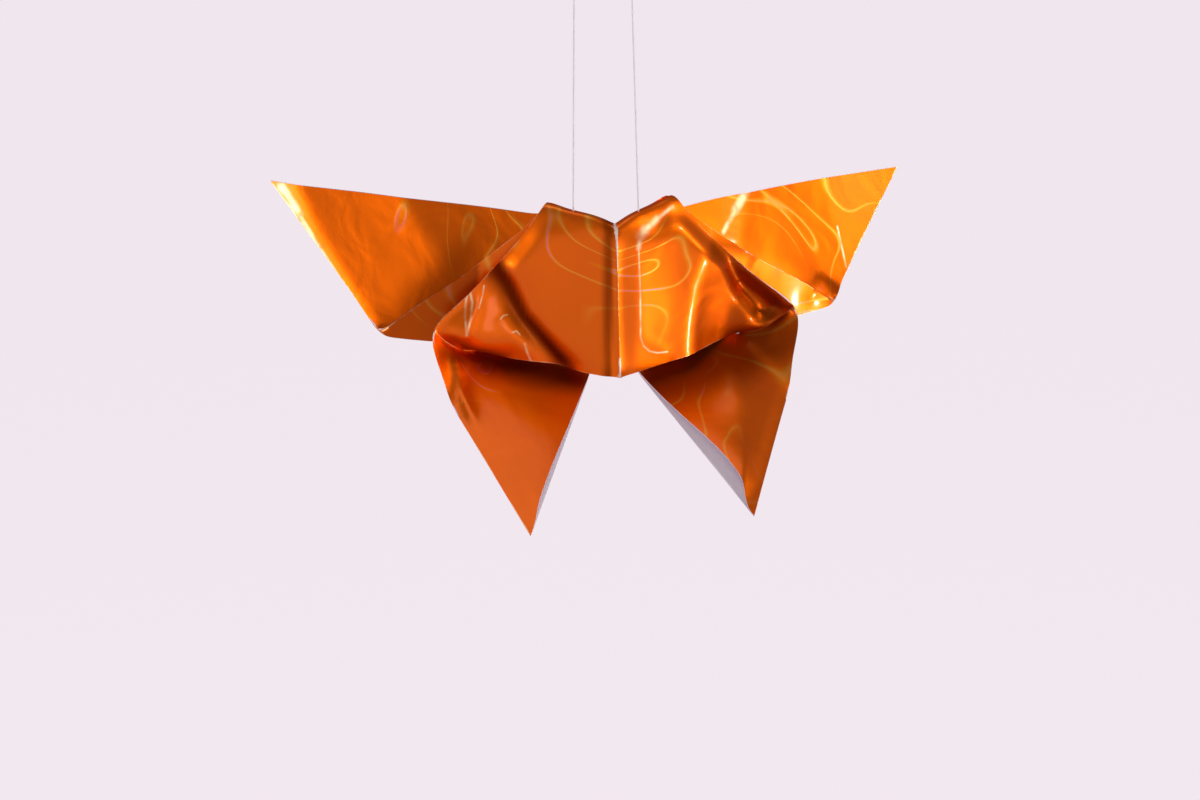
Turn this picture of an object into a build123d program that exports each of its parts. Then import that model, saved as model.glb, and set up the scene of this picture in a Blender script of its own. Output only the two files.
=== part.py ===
from build123d import *
import os
from math import atan2, cos, exp, hypot, pi, radians, sin, sqrt

# Origami butterfly: one square of foil paper, folded, hung by two threads.
# Frame: X to the viewer's right, Y away from the viewer, Z up. The origin is on
# the body's top fold, midway between the two wings. Millimetres.

# The sheet
sheet_side = 150.0
paper_thickness = 0.12
layer_gap = 0.24          # from the middle of one layer to the middle of the next

# Where the folds lie on the sheet
tip_height = 14.2         # centre of the sheet to the body's top fold
fold_depth = 27.5         # middle of a raw edge to the body's bottom fold
knee_distance = 16.1      # body's corner to the bend in the lower wing's outer edge
inner_bend = 28.0         # middle of the raw edge to where the lower wing leaves the body

# The body's top fold is a blunt ridge, wide enough for a needle
ridge_flat = 1.5
ridge_front = 1.6
ridge_drop = 0.9

# The middle of the butterfly
body_foot = (1.0, 0.0, -32.8)       # lower end of the body's centre ridge
keel_top = (0.0, 2.2, -2.0)         # middle of the upper wings' raw edge
keel_foot = (0.4, 3.9, -28.9)       # middle of the upper wings' lower fold

# The body's front swells and puckers between its folds. A swelling has its middle
# (x, z), its half width and half height, and how far it stands out; a crease has
# the points (x, z) that it runs through, its half width, and how far it stands out.
front_mesh = 2.7          # longest panel edge on the body's front
softening = 7
front_spring = 1.5        # how much farther apart the front's two layers spring
left_swells = (
    ((-22.0, -26.0), 7.5, 6.0, 2.3),
    ((-8.0, -14.0), 8.0, 12.0, 1.6),
    ((-29.0, -23.0), 4.0, 5.0, 0.9),
)
left_creases = (
    (((-21.5, -8.0), (-18.7, -13.4), (-15.6, -19.9), (-11.2, -25.5), (-8.5, -28.5)), 2.1, -1.6),
    (((-20.2, -8.5), (-15.5, -14.5), (-11.8, -21.0)), 1.7, 0.6),
)
right_swells = (
    ((8.0, -16.0), 9.0, 13.0, 1.5),
    ((23.5, -25.5), 4.5, 5.0, 1.7),
)
right_creases = (
    (((15.3, -32.5), (15.6, -25.0), (16.2, -15.4), (19.0, -6.7)), 2.6, 2.3),
    (((20.5, -8.0), (23.5, -14.5), (27.5, -22.5)), 2.4, -0.5),
)

# The threads
thread_diameter = 0.36
thread_hole = 0.66
thread_reach = 48.0       # height of each thread's loop above the ridge
loop_inside = 3.0
knot_diameter = 1.1

half = sheet_side / 2
band_depth = half - fold_depth              # centre of the sheet to the bottom fold
corner = half / 2                           # the body's corner lies halfway down a leg
shoulder_leg = (corner - tip_height) * sqrt(2)
elbow_reach = hypot(band_depth, fold_depth)


def vec(values):
    return Vector(*values)


def heading(hand, sweep, rise):
    """The direction that goes sideways, sweep degrees back and rise degrees up."""
    flat = cos(radians(rise))
    return Vector(
        hand * cos(radians(sweep)) * flat,
        sin(radians(sweep)) * flat,
        sin(radians(rise)),
    )


def hinged(a, b, from_a, from_b, turn):
    """The point from_a away from a and from_b away from b, swung round the line
    from a to b by turn degrees, counted from the side that faces the viewer."""
    axis = (b - a).normalized()
    span = (b - a).length
    along = (from_a**2 - from_b**2 + span**2) / (2 * span)
    radius = sqrt(max(from_a**2 - along**2, 0.0))
    front = Vector(0, -1, 0)
    front = (front - axis * front.dot(axis)).normalized()
    side = axis.cross(front)
    swing = radians(turn)
    return a + axis * along + (front * cos(swing) + side * sin(swing)) * radius


def between(a, b, share):
    return a + (b - a) * share


class Side:
    """One half of the butterfly: hand is -1 on the viewer's left, 1 on the right."""

    def __init__(self, hand, **values):
        self.hand = hand
        self.__dict__.update(values)
        self.place()

    def place(self):
        top = Vector(0, 0, 0)
        foot = vec(body_foot)
        crown = vec(keel_top)
        keel = vec(keel_foot)
        hand = self.hand
        self.back = Vector(-hand * sin(radians(self.wing_sweep)), cos(radians(self.wing_sweep)), 0)
        self.shoulder = top + heading(hand, self.ridge_sweep, self.ridge_rise) * tip_height
        self.wing_tip = crown + heading(hand, self.wing_sweep, self.wing_rise) * half
        self.elbow = hinged(
            self.wing_tip, crown, fold_depth * sqrt(2) * self.leg_slack, elbow_reach,
            self.elbow_turn
        )
        self.corner = hinged(
            self.shoulder, foot, shoulder_leg,
            hypot(corner, band_depth - corner) - self.pucker_take_up, self.corner_turn
        )
        self.fold_way = (self.elbow - keel).normalized()
        self.hinge = keel + self.fold_way * fold_depth * 0.97
        self.leave = keel + self.fold_way * 4.5 + Vector(0, 1.6, -4.2)
        self.low_tip = hinged(
            self.corner, self.leave, corner * sqrt(2) - self.outer_curl,
            half - inner_bend - self.inner_curl, self.low_turn
        )
        self.edge_mid = between(crown, self.wing_tip, 0.36) + vec(self.edge_bow)
        self.knee = between(self.corner, self.low_tip, knee_distance / (corner * sqrt(2)))
        self.knee = self.knee + vec(self.knee_bow)


LEFT = Side(
    -1,
    wing_sweep=27.4, wing_rise=1.9, elbow_turn=79.2, leg_slack=1.01,
    ridge_sweep=21.9, ridge_rise=6.0,
    corner_turn=99.4, pucker_take_up=1.3,
    outer_curl=2.0, inner_curl=0.9, low_turn=32.9,
    leg_bow=(0, -0.4, -1.0), edge_bow=(-0.2, 0.9, 0.3), knee_bow=(-2.6, 4.6, -4.4),
    thread_place=8.6, thread_lean=0.3,
)
RIGHT = Side(
    1,
    wing_sweep=29.8, wing_rise=0.6, elbow_turn=-64.7, leg_slack=0.935,
    ridge_sweep=28.7, ridge_rise=7.3,
    corner_turn=-95.0, pucker_take_up=1.3,
    outer_curl=2.8, inner_curl=1.3, low_turn=-32.9,
    leg_bow=(0, -2.0, -0.8), edge_bow=(0.1, 1.0, 0.9), knee_bow=(4.0, 6.5, -6.0),
    thread_place=5.7, thread_lean=-1.6,
)


# The sheet as a net of flat panels. A corner of a panel is named by the region of
# the sheet (c, d, i, o, from the upper wings' fronts round to the lower wings'
# fronts), the fold line it stands on, and the side of the butterfly. Regions c and o
# cross the middle of the butterfly, so that both sides share their middle corners.
spots = {}
panels = []
middle_keys = ("O", "TR", "TB", "TA", "TF", "NB", "NW", "M")
front_bulge = (0.0, -1.4, -1.0)
front_waist = (0.0, -0.4, -0.4)

# How deep each region lies in the ridge, and its place in the stack of layers as
# band (the body's front), wing or base, flap (the lower wing), and tip
nest = {"o": 0, "i": 1, "d": 2, "c": 3}
stack = {
    "c": {"band": 3, "wing": 4, "tip": 10},
    "d": {"band": 2, "wing": 5, "tip": 11},
    "i": {"band": 1, "wing": 6, "flap": 9, "tip": 12},
    "o": {"band": 0, "wing": 7, "flap": 8, "tip": 13},
}
g = layer_gap
crown = vec(keel_top)
keel = vec(keel_foot)
foot = vec(body_foot)


def spot_name(region, key, hand):
    shared = region in "co" and key in middle_keys
    return (region, key, 0 if shared else hand)


def put(region, key, hand, place):
    spots[spot_name(region, key, hand)] = place


def panel(region, hand, *rings):
    """Flat panels, each given by its keys, counter-clockwise on the coloured face
    of the left side; the right side mirrors them."""
    for keys in rings:
        ring = [spot_name(region, key, hand) for key in keys.split()]
        panels.append(ring if hand < 0 else ring[::-1])


def strip(hand, first, second, keys):
    """The narrow back of a sharp fold between two regions, along a line of keys."""
    names = keys.split()
    for v1, v2 in zip(names, names[1:]):
        ring = [
            spot_name(first, v2, hand),
            spot_name(first, v1, hand),
            spot_name(second, v1, hand),
            spot_name(second, v2, hand),
        ]
        if hand < 0 and (v1, v2) == ("NB", "TF"):
            # cut across the other way, clear of the sharp corner beside it
            ring = ring[1:] + ring[:1]
        panels.append(ring if hand < 0 else ring[::-1])


def place_ridge(side, region):
    """The ridge from the body's front over the top, and the tip behind the wings."""
    hand = side.hand
    aside = Vector(0 if region in "co" else hand * g / 2, 0, 0)
    straight_back = Vector(0, 1 / side.back.Y, 0)
    deep = nest[region] * g
    behind = (stack[region]["tip"] - 4) * g
    rows = (
        ("F", -ridge_front + deep, -ridge_drop - 0.4 * deep),
        ("A", -ridge_flat / 2 + 0.2 * deep, -deep),
        ("B", ridge_flat / 2 - 0.2 * deep, -deep),
    )
    for name, across, up in rows:
        rise = Vector(0, 0, up)
        put(region, "T" + name, hand, aside + straight_back * across + rise)
        put(region, "S" + name, hand, side.shoulder + side.back * across + rise)
    rear_middle = crown.Y * side.back.Y + behind
    rear_end = (side.edge_mid - side.shoulder).dot(side.back) + behind - 0.2
    low = Vector(0, 0, -1.2 - 0.5 * deep)
    put(region, "TR", hand, aside + straight_back * rear_middle + low)
    low = Vector(0, 0, -2.2 - 0.5 * deep)
    put(region, "SR", hand, side.shoulder + side.back * rear_end + low)
    tip_foot = Vector(0, between(crown, keel, 0.3).Y, 3.6 - tip_height)
    if region in "di":
        tip_foot = tip_foot + Vector(hand * 0.3 * g, 0, 0.9 * g)
    put(region, "O", hand, aside + tip_foot + straight_back * (behind + 0.1))


def place_upper_wing(side, region):
    """The upper wing and the layers of the body that run into it."""
    hand = side.hand
    aside = Vector(0 if region == "c" else hand * g / 2, 0, 0)
    straight_back = Vector(0, 1 / side.back.Y, 0)
    down = Vector(0, 0, 0 if region == "c" else -g)
    wing = (stack[region]["wing"] - 4) * g
    band = (stack[region]["band"] - 4) * g
    put(region, "NW", hand, keel + aside + down + straight_back * wing)
    put(region, "NB", hand, keel + aside + down + straight_back * band)
    put(region, "M", hand, crown + aside + straight_back * wing)
    put(region, "EW", hand, side.elbow + down + side.back * wing)
    put(region, "EB", hand, side.elbow + down + side.back * band)
    put(region, "D", hand, side.wing_tip + side.back * wing)
    put(region, "U", hand, side.edge_mid + side.back * wing)
    leg = between(side.shoulder, side.elbow, 0.5) + vec(side.leg_bow)
    put(region, "L", hand, leg + side.back * (band + g))


def place_lower_wing(side, region):
    """The body's puckered front, the base behind the wings, and the lower wing."""
    hand = side.hand
    straight_back = Vector(0, 1 / side.back.Y, 0)
    inside = 0 if region == "o" else g
    aside = Vector(hand * inside / 2, 0, 0)
    wing = (stack[region]["wing"] - 4) * g
    flap = (stack[region]["flap"] - 4) * g
    lift = Vector(0, 0, 1.3 * inside)
    put(region, "NB", hand, foot + aside + straight_back * inside + lift)
    low = Vector(0, 0, -1.9) + lift
    put(region, "NW", hand, keel + aside + straight_back * (wing + 0.05) + low)
    low = Vector(0, 0, -1.6 + 5.5 * inside)
    put(region, "M", hand, crown + aside + straight_back * wing + low)
    low = Vector(hand * g * 0.65, 0, -1.4 + 4.6 * inside)
    put(region, "MF", hand, crown + straight_back * flap + low)
    # the inner layer goes round the outer one where the three folds meet
    corner_spot = side.hinge + side.fold_way * 1.45 * inside + lift
    for key, across, low in (
        ("Q", -0.15 + 0.8 * inside, -1.25),
        ("QB", wing, -0.95),
        ("QF", 1.0 + 3.2 * inside, -1.3 - 0.3 * inside),
    ):
        put(region, key, hand, corner_spot + side.back * across + Vector(0, 0, low))
    bulge = between(foot, side.hinge, 0.86) + vec(front_bulge)
    put(region, "W", hand, bulge + Vector(hand, 1.2, 1.8) * inside)
    low = Vector(0, 0, -1.42 + 0.5 * inside) + lift
    wide = side.back * (wing + 0.1 - 0.4 * inside)
    put(region, "WB", hand, between(keel, side.hinge, 0.8) + wide + low)
    put(region, "P", hand, side.corner + Vector(hand * 0.2, 1.4, 0.1) * inside)
    sag = between(side.corner, spots[(region, "Q", hand)], 0.55) + Vector(hand * 0.3, -0.7, -1.9)
    put(region, "H", hand, sag + Vector(0, 1.6, 0.9) * inside)
    waist = between(side.shoulder, side.corner, 0.45) + vec(front_waist)
    put(region, "V", hand, waist + Vector(0, inside, 0))
    face = (side.leave - side.hinge).cross(side.low_tip - side.hinge).normalized()
    if face.Y < 0:
        face = face * -1
    put(region, "X", hand, side.leave + face * inside + Vector(0, 0.6, -1.0) * inside)
    put(region, "R", hand, side.knee + face * inside + Vector(0, 1.1, 0.6) * inside)
    put(region, "A", hand, side.low_tip + face * inside)


def join_panels(side):
    hand = side.hand
    panel("c", hand, "O TR SR", "TR TB SB SR", "TA TF SF SA")
    panel("d", hand, "O SR TR", "TR SR SB TB", "TA SA SF TF")
    panel("i", hand, "O TR SR", "TR TB SB SR", "TA TF SF SA")
    panel("o", hand, "O SR TR", "TR SR SB TB", "TA SA SF TF")
    panel("c", hand, "TF NB L", "NB EB L", "TF L SF", "NB NW EW EB")
    panel("c", hand, "NW M EW", "M U EW", "U D EW")
    panel("d", hand, "TF L NB", "NB L EB", "TF SF L", "NB EB EW NW")
    panel("d", hand, "NW EW M", "M EW U", "U EW D")
    panel("i", hand, "TF NB W", "TF W V", "TF V SF", "W P V", "W Q H", "W H P")
    panel("i", hand, "NB NW WB W", "W WB QB Q", "NW M WB", "M QB WB", "QB M MF QF")
    panel("i", hand, "Q QB QF", "H Q QF", "MF X QF", "X A QF", "QF A R", "QF R H", "H R P")
    panel("o", hand, "TF W NB", "TF V W", "TF SF V", "W V P", "W H Q", "W P H")
    panel("o", hand, "NB W WB NW", "W Q QB WB", "NW WB M", "M WB QB", "QB QF MF M")
    panel("o", hand, "Q QF QB", "Q H QF", "MF QF X", "X QF A", "QF R A", "QF H R", "H P R")
    strip(hand, "c", "d", "D EW EB L SF SA SB SR O")
    strip(hand, "d", "i", "M NW NB TF TA TB TR O")
    strip(hand, "i", "o", "A R P V SF SA SB SR O")


def pierce(side, region):
    """The ridge's flat top in one layer, with the needle hole for the thread."""
    hand = side.hand
    along = side.shoulder.normalized()
    level = Vector(along.X, along.Y, 0)
    centre = side.hole
    ring = []
    for step in range(12):
        turn = 2 * pi * step / 12
        place = centre + (level * cos(turn) + side.back * sin(turn)) * thread_hole / 2
        share = (place - centre).dot(level) / level.length**2 * along.length
        rise = (side.thread_place + share) * along.Z - nest[region] * g
        name = (region, "hole%d" % step, hand)
        spots[name] = Vector(place.X, place.Y, rise)
        ring.append((turn, name))
    corners = []
    for key in ("TB", "TA", "SA", "SB"):
        name = spot_name(region, key, hand)
        from_hole = spots[name] - centre
        turn = atan2(from_hole.dot(side.back), from_hole.dot(level))
        corners.append((turn % (2 * pi), name))
    corners.sort()
    outer = len(corners)
    inner = len(ring)
    i = 0
    j = 0
    # start at the corner next to the ring's first point
    while i < outer or j < inner:
        next_outer = corners[(i + 1) % outer][0] + 2 * pi * ((i + 1) // outer)
        next_inner = ring[(j + 1) % inner][0] + 2 * pi * ((j + 1) // inner)
        here = corners[i % outer][1]
        there = ring[j % inner][1]
        if j >= inner or (i < outer and next_outer <= next_inner):
            new = [here, corners[(i + 1) % outer][1], there]
            i += 1
        else:
            new = [here, ring[(j + 1) % inner][1], there]
            j += 1
        # regions c and i run one way round on the left, d and o the other
        forward = (region in "ci") == (hand < 0)
        panels.append(new if forward else new[::-1])


for side in (LEFT, RIGHT):
    side.hole = side.shoulder.normalized() * side.thread_place
    for region in "cdio":
        place_ridge(side, region)
    for region in "cd":
        place_upper_wing(side, region)
    for region in "oi":
        place_lower_wing(side, region)
    for region in "cdio":
        pierce(side, region)
    join_panels(side)
cap = [("c", 0), ("d", -1), ("i", -1), ("o", 0), ("i", 1), ("d", 1)]
panels.append([(region, "O", hand) for region, hand in cap])


def stretch_of(ring):
    """The stretch of one layer that a panel belongs to."""
    keys = {name[1] for name in ring}
    regions = {name[0] for name in ring}
    hand = sum(name[2] for name in ring)
    if len(regions) > 1 or hand == 0:
        return "fold"
    region = regions.pop()
    side = "left" if hand < 0 else "right"
    ridge_keys = {"TR", "SR", "TB", "SB", "TA", "SA"}
    if region in "cd" or keys & ridge_keys or any(key.startswith("hole") for key in keys):
        return "plain"
    if keys & {"NW", "WB", "M"}:
        return "base"
    if keys & {"QB", "QF", "X", "R"}:
        return "flap"
    return region + " front " + side


# Every panel as triangles
triangles = []
for ring in panels:
    stretch = stretch_of(ring)
    for second, third in zip(ring[1:], ring[2:]):
        triangles.append(((ring[0], second, third), stretch))


# Region i lies just inside region o. It is split in the same places, so each of its
# corners has a twin in region o.
twin = {}
for region, key, hand in list(spots):
    if region == "i":
        twin[(region, key, hand)] = spot_name("o", key, hand)


def measured(a, b):
    """The length of an edge, or of its twin in region o."""
    if a in twin and b in twin:
        a, b = twin[a], twin[b]
    return (spots[a] - spots[b]).length


def longest_edge(stretch):
    return front_mesh if "front" in stretch else 200.0


def corners_in_turn(names):
    return list(zip(names, names[1:] + names[:1]))


def split_once():
    """Halves each edge that is too long for a panel beside it; False when none is."""
    limit = {}
    for names, stretch in triangles:
        for a, b in corners_in_turn(names):
            edge = frozenset((a, b))
            limit[edge] = min(limit.get(edge, 200.0), longest_edge(stretch))
    middles = {}
    for edge, longest in limit.items():
        a, b = sorted(edge, key=str)
        if measured(a, b) > longest:
            name = ("split", str(len(spots)), 0)
            spots[name] = between(spots[a], spots[b], 0.5)
            middles[edge] = name
    for edge, name in middles.items():
        a, b = edge
        if a in twin and b in twin and frozenset((twin[a], twin[b])) in middles:
            twin[name] = middles[frozenset((twin[a], twin[b]))]
    if not middles:
        return False
    halved = []
    for names, stretch in triangles:
        cuts = [middles.get(frozenset(pair)) for pair in corners_in_turn(names)]
        count = sum(cut is not None for cut in cuts)
        turn = 0
        if count in (1, 2):
            while cuts[turn] is None or (count == 2 and cuts[(turn + 1) % 3] is None):
                turn += 1
        a, b, c = (names[(turn + i) % 3] for i in range(3))
        ab, bc, ca = (cuts[(turn + i) % 3] for i in range(3))
        if count == 0:
            parts = [names]
        elif count == 1:
            parts = [(a, ab, c), (ab, b, c)]
        elif count == 3:
            parts = [(a, ab, ca), (ab, b, bc), (ca, bc, c), (ab, bc, ca)]
        elif measured(ab, c) < measured(a, bc):
            parts = [(ab, b, bc), (a, ab, c), (ab, bc, c)]
        else:
            parts = [(ab, b, bc), (a, ab, bc), (a, bc, c)]
        halved += [(part, stretch) for part in parts]
    triangles[:] = halved
    return True


while split_once():
    pass

# Inside the body's front the panels are softened into one surface; its folds stay
around_of = {}
stretches_of = {}
for names, stretch in triangles:
    for a, b in corners_in_turn(names):
        around_of.setdefault(a, {})[b] = True
        around_of.setdefault(b, {})[a] = True
        stretches_of.setdefault(a, set()).add(stretch)
loose = [
    name for name, kinds in stretches_of.items()
    if len(kinds) == 1 and "front" in next(iter(kinds))
]
apart = {name: spots[name] - spots[twin[name]] for name in loose if name in twin}
unsoftened = {name: spots[name] for name in loose}
for turn in range(softening):
    moved = {}
    for name in loose:
        total = Vector(0, 0, 0)
        for other in around_of[name]:
            total = total + spots[other]
        moved[name] = between(spots[name], total / len(around_of[name]), 0.6)
    spots.update(moved)


def eased(value):
    value = min(max(value, 0.0), 1.0)
    return value * value * (3 - 2 * value)


def from_line(x, z, line):
    """How far a point (x, z) lies from a line through points."""
    best = 1000.0
    for (ax, az), (bx, bz) in zip(line, line[1:]):
        along_x = bx - ax
        along_z = bz - az
        share = ((x - ax) * along_x + (z - az) * along_z) / (along_x**2 + along_z**2)
        share = min(max(share, 0.0), 1.0)
        best = min(best, hypot(x - ax - share * along_x, z - az - share * along_z))
    return best


def standing_out(x, z, swells, creases):
    out = 0.0
    for (middle_x, middle_z), wide, high, height in swells:
        away = ((x - middle_x) / wide) ** 2 + ((z - middle_z) / high) ** 2
        out += height * exp(-away)
    for line, wide, height in creases:
        out += height * exp(-((from_line(x, z, line) / wide) ** 1.5))
    return out


# Softening and puckers die out towards the folds that bound the body's front
freedom = {}
for name in loose:
    side = LEFT if "left" in next(iter(stretches_of[name])) else RIGHT
    place = unsoftened[name]
    swells, creases = (
        (left_swells, left_creases) if side is LEFT else (right_swells, right_creases)
    )
    waist = spots[("o", "V", side.hand)]
    chin = spots[("o", "W", side.hand)]
    hinge = spots[("o", "Q", side.hand)]
    sag = spots[("o", "H", side.hand)]
    leg = [(spot.X, spot.Z) for spot in (side.shoulder, waist, side.corner)]
    bottom = [(spot.X, spot.Z) for spot in (foot, chin, hinge, sag, side.corner)]
    from_leg = from_line(place.X, place.Z, leg)
    from_bottom = from_line(place.X, place.Z, bottom)
    from_middle = abs(place.X + foot.X * place.Z / 33)
    from_top = -place.Z - 1.3 + abs(place.X) * 0.12
    near = min(from_leg, from_bottom, from_middle, from_top)
    freedom[name] = eased((near - 0.6) / 3)
    place = between(place, spots[name], freedom[name])
    out = standing_out(place.X, place.Z, swells, creases)
    out = out * eased((from_leg - 1.0) / 5) * eased((from_middle - 0.3) / 3)
    out = out * eased(from_top / 5) * eased((from_bottom - 0.4) / 4)
    spots[name] = place + Vector(0, -out, 0)


def unit_normal(names):
    a, b, c = (spots[name] for name in names)
    return (b - a).cross(c - a).normalized()


def ways_round(chosen):
    """For each corner the differing directions that the panels round it face."""
    ways = {}
    for names in chosen:
        way = unit_normal(names)
        for name in names:
            seen = ways.setdefault(name, [])
            if all(way.dot(other) < 0.995 for other in seen):
                seen.append(way)
    return ways


def push_out(ways, distance):
    """The one move that takes every panel round a corner out by the distance."""
    total = Vector(0, 0, 0)
    for way in ways:
        total = total + way
    mean = total.normalized()
    reach = sum(mean.dot(way) for way in ways) / len(ways)
    return mean * (distance / max(reach, 0.6))


outer_ways = ways_round([names for names, stretch in triangles if "o front" in stretch])
for name, offset in apart.items():
    if twin[name] not in outer_ways:
        continue
    inward = push_out(outer_ways[twin[name]], -layer_gap * front_spring)
    short = inward.length - offset.dot(inward.normalized())
    spring = max(short, 0.0) * freedom[twin[name]]
    spots[name] = spots[twin[name]] + offset + inward.normalized() * spring

triangles = [names for names, stretch in triangles]


# Each corner moves both ways by half the paper's thickness
push = {name: push_out(ways, paper_thickness / 2) for name, ways in ways_round(triangles).items()}
front = {name: spots[name] + push[name] for name in push}
rear = {name: spots[name] - push[name] for name in push}


def face_of(*places):
    return Face(Wire.make_polygon(places, close=True))


edges = {}
skin = []
for a, b, c in triangles:
    skin.append(face_of(front[a], front[b], front[c]))
    skin.append(face_of(rear[c], rear[b], rear[a]))
    for start, end in ((a, b), (b, c), (c, a)):
        edges[(start, end)] = True
for start, end in edges:
    if (end, start) not in edges:
        # a raw edge of the sheet, or the wall of a needle hole
        skin.append(face_of(front[start], rear[start], rear[end]))
        skin.append(face_of(front[start], rear[end], front[end]))

folded_paper = Solid(Shell(skin))
folded_paper.label = "folded_paper"
print("paper valid", folded_paper.is_valid, "volume", round(folded_paper.volume),
      "of", round(sheet_side**2 * paper_thickness), "faces", len(folded_paper.faces()))

os.makedirs("parts", exist_ok=True)
export_step(folded_paper, "parts/folded_paper.step")


# The threads: a knot inside the ridge, a taut run up through the four layers of the
# ridge, and a tied loop just outside the view
def thread(side):
    radius = thread_diameter / 2
    top = Vector(side.hole.X + side.thread_lean, side.hole.Y, thread_reach)
    way = (top - side.hole).normalized()
    inside = 3 * g + paper_thickness / 2 + 0.15 + knot_diameter / 2
    knot = side.hole - way * inside
    run = Plane(origin=knot, z_dir=way) * Cylinder(
        radius, (top - knot).length, align=(Align.CENTER, Align.CENTER, Align.MIN)
    )
    loop_radius = loop_inside / 2 + radius
    profile = Plane.XZ * Pos(loop_radius, 0) * RegularPolygon(radius, 8)
    ring = Pos(*top) * Pos(0, 0, loop_radius) * Rot(90, 0, 0) * revolve(profile, Axis.Z)
    profile = Plane.XZ * (Pos(0, 0) * RegularPolygon(knot_diameter / 2, 10))
    profile = split(profile, Plane.YZ, keep=Keep.TOP)
    knob = revolve(profile, Axis.Z)
    lower = Pos(*knot) * knob
    upper = Pos(*top) * knob
    return ((run + lower) + (upper + ring)).solids()


for side, name in ((LEFT, "left_thread"), (RIGHT, "right_thread")):
    pieces = thread(side)
    print(name, len(pieces), pieces[0].is_valid, round(pieces[0].volume, 2))
    pieces[0].label = name
    export_step(pieces[0], "parts/%s.step" % name)
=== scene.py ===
from math import atan2, cos, hypot, pi, radians, sin, sqrt

import bpy
import numpy as np
from bpy.props import FloatProperty, FloatVectorProperty, IntProperty, PointerProperty
from mathutils import Matrix, Vector


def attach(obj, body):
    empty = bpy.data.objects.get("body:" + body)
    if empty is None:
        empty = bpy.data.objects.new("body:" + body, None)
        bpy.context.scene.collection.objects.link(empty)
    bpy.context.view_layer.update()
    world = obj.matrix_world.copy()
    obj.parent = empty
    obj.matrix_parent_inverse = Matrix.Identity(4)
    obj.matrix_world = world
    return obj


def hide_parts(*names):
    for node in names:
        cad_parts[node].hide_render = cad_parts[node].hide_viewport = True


bl_info = {
    "name": "Foil Paper Butterfly",
    "version": (1, 0, 0),
    "blender": (4, 5, 0),
    "location": "View3D > Sidebar > Butterfly",
    "description": "A butterfly folded from one square of foil paper, hung by two threads",
    "category": "Add Mesh",
}

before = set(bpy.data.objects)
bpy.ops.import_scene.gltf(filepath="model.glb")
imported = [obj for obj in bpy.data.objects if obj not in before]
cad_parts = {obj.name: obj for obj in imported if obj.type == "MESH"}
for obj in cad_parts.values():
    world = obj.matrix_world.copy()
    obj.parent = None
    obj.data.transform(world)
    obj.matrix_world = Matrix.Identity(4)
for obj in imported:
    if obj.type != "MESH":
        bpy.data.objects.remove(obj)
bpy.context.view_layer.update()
MM = 0.001
PER_METRE = 1000
FAR = 1e9

ROUNDS = 36
MOST_FACES = 200000
SHARP_TURN = radians(38)

# The threads, in millimetres
THREAD_TOP = 48.0
KNOT_HEIGHT = 1.1
KNOT_SIZE = 0.125
KNOT_SLACK = 0.15
HALF_PAPER = 0.06
LOOP_RADIUS = 1.5
PITCH_PER_DIAMETER = 4.6
STEPS_PER_DIAMETER = 3

# The camera stands this far to the right of and above the line through the top fold
CAMERA_ASIDE = -0.00303361
CAMERA_ABOVE = -0.03556204
FLOOR_HEIGHT = -0.42
FLOOR_REACH = 40
# Lamps: name, way from the butterfly's middle, distance, width, power and colour
MIDDLE = (0, 0, -0.025)
LAMPS = (
    ("key", (0.8, -0.4, 0.47), 0.8, 0.05, 1.5, (1.0, 0.96, 0.9)),
    ("low", (0.76, -0.52, -0.39), 0.5, 0.03, 0.72, (1.0, 0.95, 0.88)),
    ("front", (0.06, -1.0, -0.03), 1.0, 0.3, 0.6, (1.0, 0.98, 0.95)),
    ("left", (-0.97, -0.24, 0.0), 0.7, 0.04, 1.25, (1.0, 0.97, 0.95)),
    ("above", (-0.1, 0.05, 1.0), 0.8, 0.5, 0.6, (1.0, 0.98, 0.95)),
)
WORLD_COLOUR = (0.95, 0.87, 0.92, 1)
WORLD_STRENGTH = 0.24

# Colours of the foil beside its own, among them painted shade and painted highlights
LINE_GLOW = (1.0, 0.3, 0.005, 1)
ORANGE_LINE = (1.0, 0.36, 0.06, 1)
PINK_LINE = (1.0, 0.14, 0.36, 1)
RUBBED_AND_LIT = (1.0, 0.6, 0.3, 1)
SHADE = (0.16, 0.014, 0.0, 1)
PAINTED_HIGHLIGHT = (1.0, 0.74, 0.42, 1)
BARE_PAPER = (0.9, 0.74, 0.66, 1)
FOIL_SHINE = (1.0, 0.4, 0.05, 1)


# Sizes and colours that a user would change

class SheetSettings(bpy.types.PropertyGroup):
    """The folded sheet"""

    side: FloatProperty(
        name="Sheet side", description="Side of the square sheet", default=0.150,
        min=0.07, max=0.26, unit="LENGTH",
    )
    thickness: FloatProperty(
        name="Paper thickness", description="Thickness of the foil paper", default=0.00012,
        min=0.00005, max=0.0003, precision=5, unit="LENGTH",
    )
    finest: FloatProperty(
        name="Finest edge", description="Longest mesh edge on the visible paper",
        default=0.00118, min=0.0005, max=0.01, precision=5, unit="LENGTH",
    )
    crumple: FloatProperty(
        name="Crumple", description="Height of the small dents in the foil",
        default=0.00012, min=0.0, max=0.001, precision=5, unit="LENGTH",
    )
    foil: FloatVectorProperty(
        name="Foil", description="Colour of the foil side", size=3, subtype="COLOR",
        default=(0.98, 0.16, 0.0), min=0.0, max=1.0,
    )
    paper: FloatVectorProperty(
        name="Paper", description="Colour of the inner side", size=3, subtype="COLOR",
        default=(0.95, 0.86, 0.95), min=0.0, max=1.0,
    )


class ThreadSettings(bpy.types.PropertyGroup):
    """The two hanging threads"""

    diameter: FloatProperty(
        name="Thread diameter", description="Diameter of a thread", default=0.00036,
        min=0.0003, max=0.001, precision=5, unit="LENGTH",
    )
    plies: IntProperty(
        name="Plies", description="Strands twisted into a thread", default=3, min=2, max=5,
    )


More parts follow.
